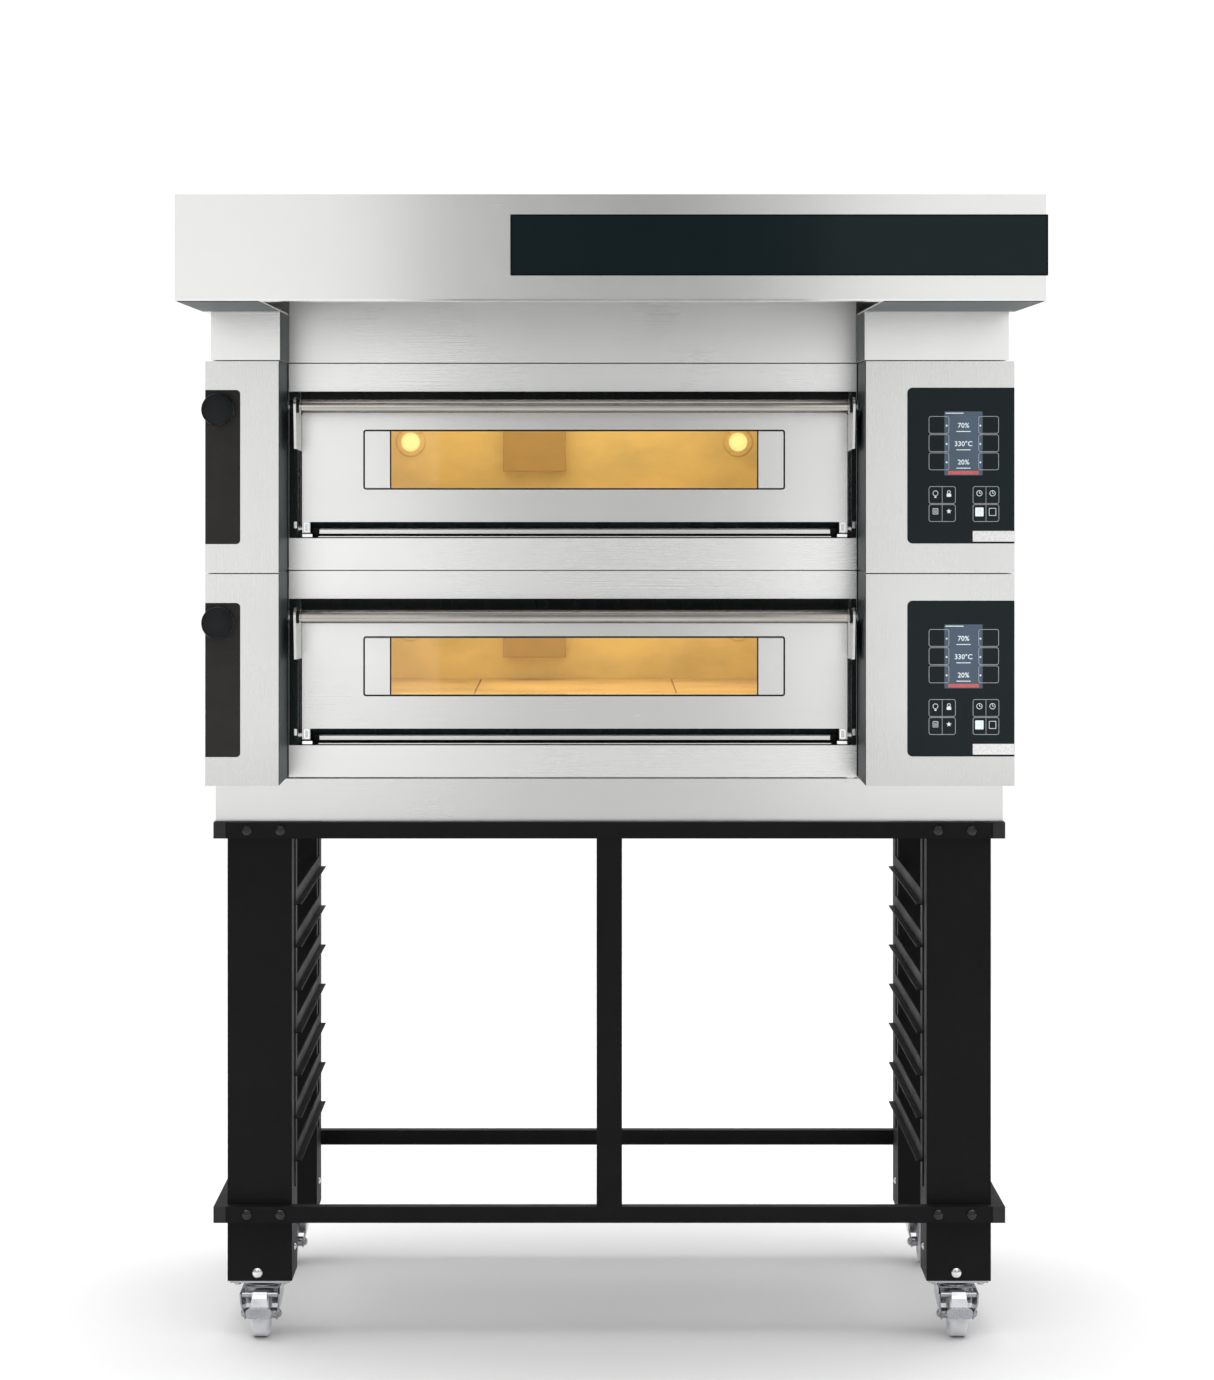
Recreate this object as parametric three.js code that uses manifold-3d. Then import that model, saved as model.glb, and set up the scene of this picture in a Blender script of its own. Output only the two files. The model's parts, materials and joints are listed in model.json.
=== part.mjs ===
// Double-deck electric pizza oven with a fume hood, on a castored stand with tray racks.
// Millimetres. +Z up, the doors face -Y, +X is to the right of someone facing the doors.
// The origin is on the floor, under the middle of the object's box.

import * as THREE from 'three';
import { mergeVertices } from 'three/addons/utils/BufferGeometryUtils.js';
import Module from 'manifold-3d';

const wasm = await Module();
wasm.setup();

// ---------------------------------------------------------------- driving dimensions

const GAP = 0.3;                 // clearance between touching sheet-metal pieces
const SHEET = 2;                 // steel sheet thickness
const SEAM = 0.9;                // shadow gap at the top and the bottom of each deck

const HOOD_HALF_W = 692;
const HOOD_FRONT = -690;
const BACK = 690;
const CASING_HALF_W = 684;
const CASING_FRONT = -310;
const FASCIA = -140;             // front of the strips above and below the doors

const MODULE_LEFT = -557;        // middle module between the two casings
const MODULE_RIGHT = 430;
const MODULE_X = [MODULE_LEFT, MODULE_RIGHT];
const MODULE_MID = (MODULE_LEFT + MODULE_RIGHT) / 2;
const CASING_LEFT_INNER = -560;
const CASING_RIGHT_INNER = 433;

const CASTOR_H = 102;
const LOWER_FRAME_Z = 208;
const TOP_FRAME_Z = 874;
const TUBE_H = 28;
const TUBE_W = 22;
const STAND_H = TOP_FRAME_Z + TUBE_H;
const STAND_HALF_W = 686;
const STAND_FRONT = -160;
const LEG = 112;
const LEG_GAP = 456;             // between the front and the rear leg
const PLINTH_TOP = 976;
const DECK_BASE = 978;
const DECK_H = 360;
const HOOD_BASE = 1782;
const HOOD_TOP = 1951;

// Heights inside one deck, from the deck's own base.
const DOOR_Z = [84, 290];
const DOOR_X = [-535, 415];
const DOOR_FRONT = -125;
const DOOR_BACK = -84;
const SEAL_PLANE = -80;          // the door closes against the chamber mouth here
const OPENING_Z = [56, 311];     // recess that the door sits in
const OPENING_X = [-541, 421];
const HINGE_Z = 72;
const HINGE_Y = -118;
const PIN_R = 5;
const HANDLE_Z = 284;
const HANDLE_Y = -240;
const HANDLE_X = [-553, 428];
const HANDLE_R = 11.5;
const WINDOW_X = [-381, 259];
const WINDOW_Z = [143, 242];
const CHAMBER_X = [-512, 390];
const CHAMBER_Z = [104, 285];
const CHAMBER_BACK = 625;
const STONE_T = 21;
const STONE_JOINTS = [-245, 125];

// ---------------------------------------------------------------- solids

function toSolid(geometry) {
  const plain = geometry.index ? geometry.toNonIndexed() : geometry.clone();
  plain.deleteAttribute('normal');
  plain.deleteAttribute('uv');
  const merged = mergeVertices(plain, 1e-4);
  return new wasm.Manifold(new wasm.Mesh({
    numProp: 3,
    vertProperties: new Float32Array(merged.attributes.position.array),
    triVerts: new Uint32Array(merged.index.array),
  }));
}

function toGeometry(solid) {
  const mesh = solid.getMesh();
  const geometry = new THREE.BufferGeometry();
  geometry.setAttribute('position', new THREE.BufferAttribute(new Float32Array(mesh.vertProperties), 3));
  geometry.setIndex(new THREE.BufferAttribute(new Uint32Array(mesh.triVerts), 1));
  geometry.computeVertexNormals();
  return geometry;
}

// A box from its low and high values along each axis.
function block(x, y, z) {
  const geometry = new THREE.BoxGeometry(x[1] - x[0], y[1] - y[0], z[1] - z[0]);
  geometry.translate((x[0] + x[1]) / 2, (y[0] + y[1]) / 2, (z[0] + z[1]) / 2);
  return toSolid(geometry);
}

// A round bar along one axis, from one end to the other.
function bar(axis, ends, centre, radius, sides = 24) {
  const geometry = new THREE.CylinderGeometry(radius, radius, ends[1] - ends[0], sides);
  const middle = (ends[0] + ends[1]) / 2;
  if (axis === 'x') {
    geometry.rotateZ(Math.PI / 2);
    geometry.translate(middle, centre[0], centre[1]);
  } else if (axis === 'y') {
    geometry.translate(centre[0], middle, centre[1]);
  } else {
    geometry.rotateX(Math.PI / 2);
    geometry.translate(centre[0], centre[1], middle);
  }
  return toSolid(geometry);
}

// A flat outline in the XZ plane (a THREE.Shape drawn in X and Z), given a thickness along Y.
function frontPlate(shape, y, curveSegments = 6) {
  const geometry = new THREE.ExtrudeGeometry(shape, {
    depth: y[1] - y[0], bevelEnabled: false, curveSegments,
  });
  geometry.rotateX(Math.PI / 2);
  geometry.translate(0, y[1], 0);
  return toSolid(geometry);
}

// A flat outline in the YZ plane, given a thickness along X.
function sidePlate(shape, x, curveSegments = 6) {
  const geometry = new THREE.ExtrudeGeometry(shape, {
    depth: x[1] - x[0], bevelEnabled: false, curveSegments,
  });
  geometry.rotateX(Math.PI / 2);
  geometry.rotateZ(Math.PI / 2);
  geometry.translate(x[0], 0, 0);
  return toSolid(geometry);
}

function joined(solids) {
  return solids.reduce((whole, piece) => whole.add(piece));
}

function cut(solid, cutters) {
  return cutters.reduce((whole, piece) => whole.subtract(piece), solid);
}

function grown(range, amount) {
  return [range[0] - amount, range[1] + amount];
}

// A rectangle with its own radius at each corner: lower left, lower right, upper right, upper left.
function roundedRectangle(x, z, [r0, r1, r2, r3]) {
  const shape = new THREE.Shape();
  shape.moveTo(x[0] + r0, z[0]);
  shape.lineTo(x[1] - r1, z[0]);
  if (r1 > 0) shape.absarc(x[1] - r1, z[0] + r1, r1, -Math.PI / 2, 0);
  shape.lineTo(x[1], z[1] - r2);
  if (r2 > 0) shape.absarc(x[1] - r2, z[1] - r2, r2, 0, Math.PI / 2);
  shape.lineTo(x[0] + r3, z[1]);
  if (r3 > 0) shape.absarc(x[0] + r3, z[1] - r3, r3, Math.PI / 2, Math.PI);
  shape.lineTo(x[0], z[0] + r0);
  if (r0 > 0) shape.absarc(x[0] + r0, z[0] + r0, r0, Math.PI, Math.PI * 1.5);
  return shape;
}

// ---------------------------------------------------------------- materials and nodes

function steelLike(color, roughness, metalness) {
  return new THREE.MeshStandardMaterial({ color, roughness, metalness });
}

const finish = {
  brushed: steelLike(0xc9c9c7, 0.35, 1),
  polished: steelLike(0xdcdcda, 0.15, 1),
  black: steelLike(0x1b1b1c, 0.45, 0.2),
  insert: steelLike(0x26211e, 0.6, 0),
  knob: steelLike(0x141516, 0.55, 0),
  gloss: steelLike(0x0c1012, 0.08, 0),
  zinc: steelLike(0xc4c6ca, 0.3, 1),
  wheel: steelLike(0xd9dadd, 0.4, 0),
  chamber: steelLike(0xb39b6a, 0.4, 1),
  stone: steelLike(0xc9b48a, 0.9, 0),
  heater: steelLike(0x55504c, 0.5, 1),
  glass: new THREE.MeshStandardMaterial({
    color: 0xf3e7c0, roughness: 0.02, metalness: 0, transparent: true, opacity: 0.35,
  }),
};

const group = new THREE.Group();

function node(parent, name, solid, material) {
  const mesh = new THREE.Mesh(toGeometry(solid), material);
  mesh.name = name;
  parent.add(mesh);
}

// ---------------------------------------------------------------- stand

const LEG_OUTER = STAND_HALF_W - TUBE_W - GAP;
const LEG_INNER = LEG_OUTER - LEG;
const FRONT_LEG_Y = STAND_FRONT + TUBE_W + GAP;
const REAR_LEG_Y = FRONT_LEG_Y + LEG + LEG_GAP;
const STAND_BACK = REAR_LEG_Y + LEG + GAP + TUBE_W;
const SIDES = [['left', -1], ['right', 1]];
const LEG_ROWS = [['front', FRONT_LEG_Y], ['rear', REAR_LEG_Y]];

// From the middle outwards on one side: [low, high] along X.
function mirrored(side, inner, outer) {
  return side < 0 ? [-outer, -inner] : [inner, outer];
}

// A welded ring of rectangular tube round the four legs.
function standRing(z) {
  const outer = block([-STAND_HALF_W, STAND_HALF_W], [STAND_FRONT, STAND_BACK], z);
  const inner = STAND_HALF_W - TUBE_W;
  return outer.subtract(block([-inner, inner], [STAND_FRONT + TUBE_W, STAND_BACK - TUBE_W], grown(z, 1)));
}

// A square tube leg, open at the top, with a floor that the castor bolts to.
function legTube(x, y) {
  const wall = 3;
  const z = [CASTOR_H + GAP, TOP_FRAME_Z + TUBE_H];
  return block(x, y, z).subtract(block(grown(x, -wall), grown(y, -wall), [z[0] + wall, z[1] + 1]));
}

// Two uprights between the legs of one side, with angle ledges that trays slide onto.
function trayRack(side) {
  const sheet = 2;
  const ledgeWidth = 12;
  const flange = 24;
  const ledgeCount = 7;
  const ledgePitch = 75;
  const lowestLedge = 300;
  const uprightWidth = 30;
  const overlap = 60;            // how far the rack reaches along each leg
  const uprightZ = [LOWER_FRAME_Z + TUBE_H + 20, TOP_FRAME_Z - 6];
  const rackY = [FRONT_LEG_Y + LEG - overlap, REAR_LEG_Y + overlap];
  const backX = mirrored(side, LEG_INNER - GAP - sheet, LEG_INNER - GAP);
  const ledgeX = mirrored(side, LEG_INNER - GAP - ledgeWidth, LEG_INNER - GAP);
  const pieces = [
    block(backX, [rackY[0], rackY[0] + uprightWidth], uprightZ),
    block(backX, [rackY[1] - uprightWidth, rackY[1]], uprightZ),
  ];
  for (let i = 0; i < ledgeCount; i += 1) {
    const z = lowestLedge + i * ledgePitch;
    pieces.push(block(ledgeX, rackY, [z, z + sheet]));
    pieces.push(block(backX, rackY, [z, z + flange]));
  }
  return joined(pieces);
}

function buildStand() {
  node(group, 'stand_top_frame', standRing([TOP_FRAME_Z, STAND_H]), finish.black);
  node(group, 'stand_bottom_frame', standRing([LOWER_FRAME_Z, LOWER_FRAME_Z + TUBE_H]), finish.black);
  for (const [rowName, y] of LEG_ROWS) {
    for (const [sideName, side] of SIDES) {
      const leg = legTube(mirrored(side, LEG_INNER, LEG_OUTER), [y, y + LEG]);
      node(group, `leg_${rowName}_${sideName}`, leg, finish.black);
    }
  }
  const postHalfWidth = 22;
  const postZ = [LOWER_FRAME_Z + TUBE_H + GAP, TOP_FRAME_Z - GAP];
  const post = block([-postHalfWidth, postHalfWidth], [STAND_FRONT, STAND_FRONT + TUBE_W], postZ);
  node(group, 'centre_post', post, finish.black);
  for (const [sideName, side] of SIDES) {
    node(group, `tray_rack_${sideName}`, trayRack(side), finish.black);
  }
}

// ---------------------------------------------------------------- castors

const WHEEL_R = 40;
const WHEEL_W = 32;
const CASTOR_TRAIL = 26;
const CASTOR_PLATE_T = 4;
const RACE_H = 6;
const AXLE_R = 5;
const PEDAL_PIVOT = [-52, 78];

// Everything is drawn round the swivel axis, with the wheel trailing towards -Y.
function castorPlate() {
  const half = 52;
  const raceR = 24;
  const underside = CASTOR_H - CASTOR_PLATE_T;
  const race = bar('z', [underside - RACE_H, underside + 1], [0, 0], raceR);
  return block([-half, half], [-half, half], [underside, CASTOR_H]).add(race);
}

function castorFork() {
  const crownR = 31;
  const cheek = 3;
  const cheekGap = WHEEL_W / 2 + 2.5;
  const crownZ = [84, CASTOR_H - CASTOR_PLATE_T - RACE_H - GAP];
  const boss = 12;
  const [pivotY, pivotZ] = PEDAL_PIVOT;
  const outline = new THREE.Shape();
  outline.moveTo(-CASTOR_TRAIL, WHEEL_R - boss);
  outline.absarc(-CASTOR_TRAIL, WHEEL_R, boss, -Math.PI / 2, -Math.PI, true);
  outline.lineTo(pivotY - 8, pivotZ - 4);
  outline.lineTo(pivotY - 8, pivotZ + 7);
  outline.lineTo(-20, crownZ[1]);
  outline.lineTo(20, crownZ[1]);
  outline.lineTo(20, crownZ[0] - 4);
  outline.lineTo(-CASTOR_TRAIL + boss, WHEEL_R - 4);
  outline.closePath();
  const pieces = [bar('z', crownZ, [0, 0], crownR)];
  for (const side of [-1, 1]) {
    const nut = mirrored(side, cheekGap + 1, cheekGap + cheek + 7);
    pieces.push(sidePlate(outline, mirrored(side, cheekGap, cheekGap + cheek)));
    pieces.push(bar('x', nut, [-CASTOR_TRAIL, WHEEL_R], 7, 6));
  }
  const clearance = bar('x', [-cheekGap, cheekGap], [-CASTOR_TRAIL, WHEEL_R], WHEEL_R + 3, 24);
  const axle = bar('x', [-cheekGap - 1, cheekGap + 1], [-CASTOR_TRAIL, WHEEL_R], AXLE_R, 12);
  return joined(pieces).subtract(clearance).add(axle);
}

function castorWheel() {
  const half = WHEEL_W / 2;
  const bore = AXLE_R + 0.15;
  const profile = [
    [bore, -half], [20, -half], [30, -half + 4], [36, -half], [WHEEL_R, -half + 5],
    [WHEEL_R, half - 5], [36, half], [30, half - 4], [20, half], [bore, half], [bore, -half],
  ];
  const geometry = new THREE.LatheGeometry(profile.map(([r, x]) => new THREE.Vector2(r, x)), 28);
  geometry.rotateZ(-Math.PI / 2);
  geometry.translate(0, -CASTOR_TRAIL, WHEEL_R);
  return toSolid(geometry);
}

// A foot pedal over the wheel, on a cross pin in front of the fork, with a lobed tread.
function brakePedal() {
  const [y, z] = PEDAL_PIVOT;
  const outline = new THREE.Shape();
  outline.moveTo(y + 5, z + 5);
  outline.lineTo(y - 5, z + 5);
  outline.lineTo(y - 22, z - 18);
  outline.lineTo(y - 26, z - 38);
  outline.lineTo(y - 22, z - 38);
  outline.lineTo(y - 18, z - 19);
  outline.lineTo(y + 5, z - 3);
  outline.closePath();
  const tongue = sidePlate(outline, [-13, 13]);
  const tread = block([-23, 23], [y - 26, y - 14], [z - 27, z - 15]);
  return joined([tongue, tread, bar('x', [-18.2, 18.2], [y, z], 5, 16)]);
}

function buildCastors() {
  for (const [rowName, y] of LEG_ROWS) {
    for (const [sideName, side] of SIDES) {
      const castor = new THREE.Group();
      castor.position.set(side * (LEG_INNER + LEG / 2), y + LEG / 2, 0);
      const place = `${rowName}_${sideName}`;
      node(castor, `castor_plate_${place}`, castorPlate(), finish.zinc);
      node(castor, `castor_fork_${place}`, castorFork(), finish.zinc);
      node(castor, `castor_wheel_${place}`, castorWheel(), finish.wheel);
      if (rowName === 'front') {
        node(castor, `brake_pedal_${sideName}`, brakePedal(), finish.zinc);
      }
      group.add(castor);
    }
  }
}

// ---------------------------------------------------------------- plinth and hood

function plinth() {
  const z = [STAND_H + GAP, PLINTH_TOP];
  const x = [-CASING_HALF_W, CASING_HALF_W];
  const rim = 40;
  const shell = block(x, [FASCIA, BACK], z);
  const hollow = block(grown(x, -SHEET), [FASCIA + SHEET, BACK - SHEET], [z[0] - 1, z[1] - SHEET]);
  const window = block(grown(x, -rim), [FASCIA + rim, BACK - rim], grown(z, 1));
  return cut(shell, [hollow, window]);
}

const DUCT_R = 75;
const DUCT_Y = 480;
const DUCT_H = 60;
const PLATE_PROUD = 3;
const HOOD_PLATE_X = [-160, HOOD_HALF_W];
const HOOD_PLATE_Z = [1822, 1919];
const INTAKE_Y = [-650, 400];
const PANEL_RISE = 100;

// A folded box with a lip round its underside. Fumes rise through the large opening in the
// underside, pass over the middle panel and leave by a round hole in the top.
function hoodCanopy() {
  const x = [-HOOD_HALF_W, HOOD_HALF_W - PLATE_PROUD];
  const y = [HOOD_FRONT + PLATE_PROUD, BACK];
  const z = [HOOD_BASE, HOOD_TOP];
  const hollow = block(grown(x, -SHEET), grown(y, -SHEET), grown(z, -SHEET));
  const intake = block(grown(MODULE_X, 1), INTAKE_Y, grown([z[0], z[0] + SHEET], 1));
  const outlet = bar('z', grown([z[1] - SHEET, z[1]], 1), [0, DUCT_Y], DUCT_R - 1, 32);
  return cut(block(x, y, z), [hollow, intake, outlet]);
}

// A short flanged spigot for the flue pipe, on the hood's top.
function ductCollar() {
  const flange = 22;
  const base = HOOD_TOP + GAP;
  const profile = [
    [DUCT_R - SHEET, base], [DUCT_R + flange, base], [DUCT_R + flange, base + SHEET],
    [DUCT_R, base + SHEET], [DUCT_R, base + DUCT_H], [DUCT_R - SHEET, base + DUCT_H],
    [DUCT_R - SHEET, base],
  ];
  const geometry = new THREE.LatheGeometry(profile.map(([r, z]) => new THREE.Vector2(r, z)), 32);
  geometry.rotateX(Math.PI / 2);
  geometry.translate(0, DUCT_Y, 0);
  return toSolid(geometry);
}

// Side pillars that carry the hood, and a set-back middle panel that rises into it.
function hoodPlenum() {
  const setBack = 4;
  const sideInset = 9;
  const overlap = 2;             // the pillars reach this far over the middle module
  const z = [DECK_BASE + 2 * DECK_H + SEAM, HOOD_BASE - GAP];
  const half = CASING_HALF_W - sideInset;
  const y = [CASING_FRONT + setBack, BACK - SHEET];
  const leftX = [-half, CASING_LEFT_INNER + overlap];
  const rightX = [CASING_RIGHT_INNER - overlap, half];
  const pieces = [
    block(leftX, y, z),
    block(rightX, y, z),
    block([CASING_LEFT_INNER, CASING_RIGHT_INNER], [FASCIA, y[1]], z),
  ];
  const hollowZ = [z[0] + SHEET, z[1] + 1];
  const hollows = [
    block(grown(leftX, -SHEET), grown(y, -SHEET), hollowZ),
    block(grown(rightX, -SHEET), grown(y, -SHEET), hollowZ),
    block(grown(MODULE_X, -SHEET), grown([FASCIA, y[1]], -SHEET), hollowZ),
  ];
  const riser = block(MODULE_X, [FASCIA, FASCIA + SHEET], [z[0], HOOD_BASE + PANEL_RISE]);
  return cut(joined(pieces), hollows).add(riser);
}

// A glossy plate on the hood's front that wraps round its right end.
function hoodPlate() {
  const wrapDepth = 40;
  const thickness = PLATE_PROUD - GAP;
  const endX = [HOOD_HALF_W - thickness, HOOD_HALF_W];
  const front = block(HOOD_PLATE_X, [HOOD_FRONT, HOOD_FRONT + thickness], HOOD_PLATE_Z);
  const end = block(endX, [HOOD_FRONT, HOOD_FRONT + wrapDepth], HOOD_PLATE_Z);
  return front.add(end);
}

function buildPlinthAndHood() {
  node(group, 'plinth', plinth(), finish.brushed);
  node(group, 'hood_plenum', hoodPlenum(), finish.brushed);
  node(group, 'hood_canopy', hoodCanopy(), finish.brushed);
  node(group, 'hood_plate', hoodPlate(), finish.gloss);
  node(group, 'duct_collar', ductCollar(), finish.brushed);
}

// ---------------------------------------------------------------- one baking deck

const INSERT_X = [-CASING_HALF_W, -625];
const INSERT_Z = [50, 310];
const INSERT_T = 4;
const PANEL_X = [503, CASING_HALF_W];
const PANEL_Z = [51, 314];
const PANEL_T = 4;
const KNOB_X = -661;
const KNOB_Z = 277;
const KNOB_R = 27.5;
const ROD_R = 6;
const COVER_T = 2;

// A tall folded casing, open towards the middle module behind the fascia.
function casingShell(x, innerSide) {
  const y = [CASING_FRONT, BACK - COVER_T - GAP];
  const z = [SEAM, DECK_H - SEAM];
  const rim = 30;
  const innerWall = innerSide > 0 ? [x[1] - SHEET, x[1]] : [x[0], x[0] + SHEET];
  const hollow = block(grown(x, -SHEET), [y[0] + SHEET, y[1] + 1], grown(z, -SHEET));
  const opening = block(grown(innerWall, 1), [FASCIA + rim, y[1] - rim], grown(z, -rim));
  return cut(block(x, y, z), [hollow, opening]);
}

function leftCasing() {
  const radius = 7;
  const x = [INSERT_X[0] - 5, INSERT_X[1] + GAP];
  const outline = roundedRectangle(x, grown(INSERT_Z, GAP), [0, radius, radius, 0]);
  const pocket = frontPlate(outline, [CASING_FRONT - 1, CASING_FRONT + INSERT_T + GAP]);
  return casingShell([-CASING_HALF_W, CASING_LEFT_INNER], 1).subtract(pocket);
}

function rightCasing() {
  const radius = 9;
  const x = [PANEL_X[0] - GAP, PANEL_X[1] + 5];
  const outline = roundedRectangle(x, grown(PANEL_Z, GAP), [radius, 0, 0, radius]);
  const pocket = frontPlate(outline, [CASING_FRONT - 1, CASING_FRONT + PANEL_T + GAP]);
  return casingShell([CASING_RIGHT_INNER, CASING_HALF_W], -1).subtract(pocket);
}

function damperInsert() {
  const radius = 7;
  const y = [CASING_FRONT, CASING_FRONT + INSERT_T];
  const plate = frontPlate(roundedRectangle(INSERT_X, INSERT_Z, [0, radius, radius, 0]), y);
  return plate.subtract(bar('y', grown(y, 1), [KNOB_X, KNOB_Z], ROD_R + 0.5, 24));
}

// Round knob with a broad front disc, on its pull rod.
function damperKnob() {
  const back = CASING_FRONT - 1;
  const front = back - 24;
  const discT = 15;
  const neckR = KNOB_R - 5;
  const chamfer = 2.5;
  const rodEnd = back + 190;
  const profile = [
    [0, front], [KNOB_R - chamfer, front], [KNOB_R, front + chamfer], [KNOB_R, front + discT],
    [neckR, front + discT + chamfer], [neckR, back], [ROD_R, back], [ROD_R, rodEnd], [0, rodEnd],
  ];
  const geometry = new THREE.LatheGeometry(profile.map(([r, y]) => new THREE.Vector2(r, y)), 24);
  geometry.translate(KNOB_X, 0, KNOB_Z);
  return toSolid(geometry);
}

function controlPanel() {
  const radius = 9;
  const y = [CASING_FRONT, CASING_FRONT + PANEL_T];
  return frontPlate(roundedRectangle(PANEL_X, PANEL_Z, [radius, 0, 0, radius]), y);
}

// Strips above and below the door, the recess the door sits in, the chamber's mouth, and
// the insulated shell behind them, open at the back.
function deckBody() {
  const x = MODULE_X;
  const z = [SEAM, DECK_H - SEAM];
  const shellBack = BACK - COVER_T - GAP;
  const mouthT = 3;
  const jamb = 14;
  const mouthZ = [CHAMBER_Z[0] + STONE_T, CHAMBER_Z[1]];
  const stripY = [FASCIA + SHEET, SEAL_PLANE];
  const cutters = [
    block(OPENING_X, [FASCIA - 1, SEAL_PLANE], OPENING_Z),
    block(CHAMBER_X, grown([SEAL_PLANE, SEAL_PLANE + mouthT], 1), mouthZ),
    block(grown(x, -SHEET), [SEAL_PLANE + mouthT, shellBack + 1], grown(z, -SHEET)),
    block(grown(x, -jamb), stripY, [OPENING_Z[1] + SHEET, DECK_H + 1]),
    block(grown(x, -jamb), stripY, [-1, OPENING_Z[0] - SHEET]),
    bar('x', grown(OPENING_X, jamb - SHEET), [HINGE_Y, HINGE_Z], PIN_R + 0.5, 20),
  ];
  return cut(block(x, [FASCIA, shellBack], z), cutters);
}

// Five-sided steel chamber, open at the mouth.
function chamberLiner() {
  const y = [SEAL_PLANE + 4, CHAMBER_BACK];
  const outer = block(grown(CHAMBER_X, SHEET), [y[0], y[1] + SHEET], grown(CHAMBER_Z, SHEET));
  return outer.subtract(block(CHAMBER_X, [y[0] - 1, y[1]], CHAMBER_Z));
}

// The refractory floor, with narrow joints that mark its three slabs.
function bakingStone() {
  const top = CHAMBER_Z[0] + STONE_T;
  const y = [SEAL_PLANE + 5, CHAMBER_BACK - GAP];
  const joint = 1.5;
  const jointDepth = 5;
  const floor = block(grown(CHAMBER_X, -GAP), y, [CHAMBER_Z[0] + GAP, top]);
  const grooves = STONE_JOINTS.map((x) => (
    block([x - joint, x + joint], grown(y, 1), [top - jointDepth, top + 1])
  ));
  return cut(floor, grooves);
}

// A flat serpentine heating element in the insulation above or below the chamber.
function heatingElement(z) {
  const rod = 8;
  const runs = 7;
  const inset = 60;
  const y = grown([SEAL_PLANE, CHAMBER_BACK], -inset);
  const x = grown(CHAMBER_X, -inset);
  const pitch = (x[1] - x[0]) / (runs - 1);
  const thickness = [z, z + rod];
  const pieces = [];
  for (let i = 0; i < runs; i += 1) {
    const run = x[0] + i * pitch;
    pieces.push(block(grown([run, run], rod / 2), y, thickness));
    if (i < runs - 1) {
      const end = i % 2 === 0 ? y[1] : y[0];
      pieces.push(block(grown([run, run + pitch], rod / 2), grown([end, end], rod / 2), thickness));
    }
  }
  return joined(pieces);
}

const GLAND = [560, 70];
const SLOT_COLUMNS = [[-650, -590], [480, 540], [570, 630]];

// Rear cover with rows of cooling slots and the mains cable gland.
function rearCover() {
  const z = [SEAM, DECK_H - SEAM];
  const y = [BACK - COVER_T, BACK];
  const slotRows = 4;
  const slotH = 6;
  const slotPitch = 26;
  const lowestSlot = 190;
  const glandR = 16;
  const cableR = 9;
  const glandY = [BACK - 30, BACK - 1];
  const slots = [];
  for (const x of SLOT_COLUMNS) {
    for (let i = 0; i < slotRows; i += 1) {
      const low = lowestSlot + i * slotPitch;
      slots.push(block(x, grown(y, 2), [low, low + slotH]));
    }
  }
  const plate = cut(block([-CASING_HALF_W, CASING_HALF_W], y, z), slots);
  const bore = bar('y', grown(glandY, 10), GLAND, cableR, 20);
  return plate.add(bar('y', glandY, GLAND, glandR, 20)).subtract(bore);
}

// Hollow insulated door with a window, hinge lugs at its bottom corners and pins into the jambs.
function doorPanel() {
  const y = [DOOR_FRONT, DOOR_BACK];
  const wall = 1.5;
  const rim = 12;
  const lugWidth = 14;
  const hollowX = grown(DOOR_X, -wall);
  const shell = block(DOOR_X, y, DOOR_Z);
  const hollow = cut(
    block(hollowX, grown(y, -wall), grown(DOOR_Z, -wall)),
    [block(grown(WINDOW_X, rim), grown(y, 1), grown(WINDOW_Z, rim))],
  );
  const window = block(WINDOW_X, grown(y, 1), WINDOW_Z);
  const ventPitch = 300;
  const ventY = [DOOR_BACK - 12, DOOR_BACK - 6];
  const vents = [-ventPitch, 0, ventPitch].map((offset) => {
    const x = MODULE_MID + offset;
    return block([x - 30, x + 30], ventY, grown([DOOR_Z[0], DOOR_Z[0] + wall], 1));
  });
  const pieces = [cut(shell, [hollow, window, ...vents])];
  const pinCentre = [HINGE_Y, HINGE_Z];
  const pinLength = 12;
  for (const [edge, inward] of [[DOOR_X[0], 1], [DOOR_X[1], -1]]) {
    const lugX = inward > 0 ? [edge, edge + lugWidth] : [edge - lugWidth, edge];
    const pinX = inward > 0 ? [edge - pinLength, edge + 2] : [edge - 2, edge + pinLength];
    pieces.push(block(lugX, [HINGE_Y - 6, HINGE_Y + 12], [HINGE_Z - 7, DOOR_Z[0] + 1]));
    pieces.push(bar('x', pinX, pinCentre, PIN_R, 20));
  }
  return joined(pieces);
}

function doorGlass() {
  const y = [DOOR_FRONT + 1.5, DOOR_FRONT + 7.5];
  return block(grown(WINDOW_X, -GAP), y, grown(WINDOW_Z, -GAP));
}

// Round bar with a collar and an end cap outside each arm.
function handleBar() {
  const capR = HANDLE_R + 0.5;
  const capLength = 8;
  return joined([
    bar('x', HANDLE_X, [HANDLE_Y, HANDLE_Z], HANDLE_R, 20),
    bar('x', [HANDLE_X[0], HANDLE_X[0] + capLength], [HANDLE_Y, HANDLE_Z], capR, 20),
    bar('x', [HANDLE_X[1] - capLength, HANDLE_X[1]], [HANDLE_Y, HANDLE_Z], capR, 20),
  ]);
}

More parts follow.
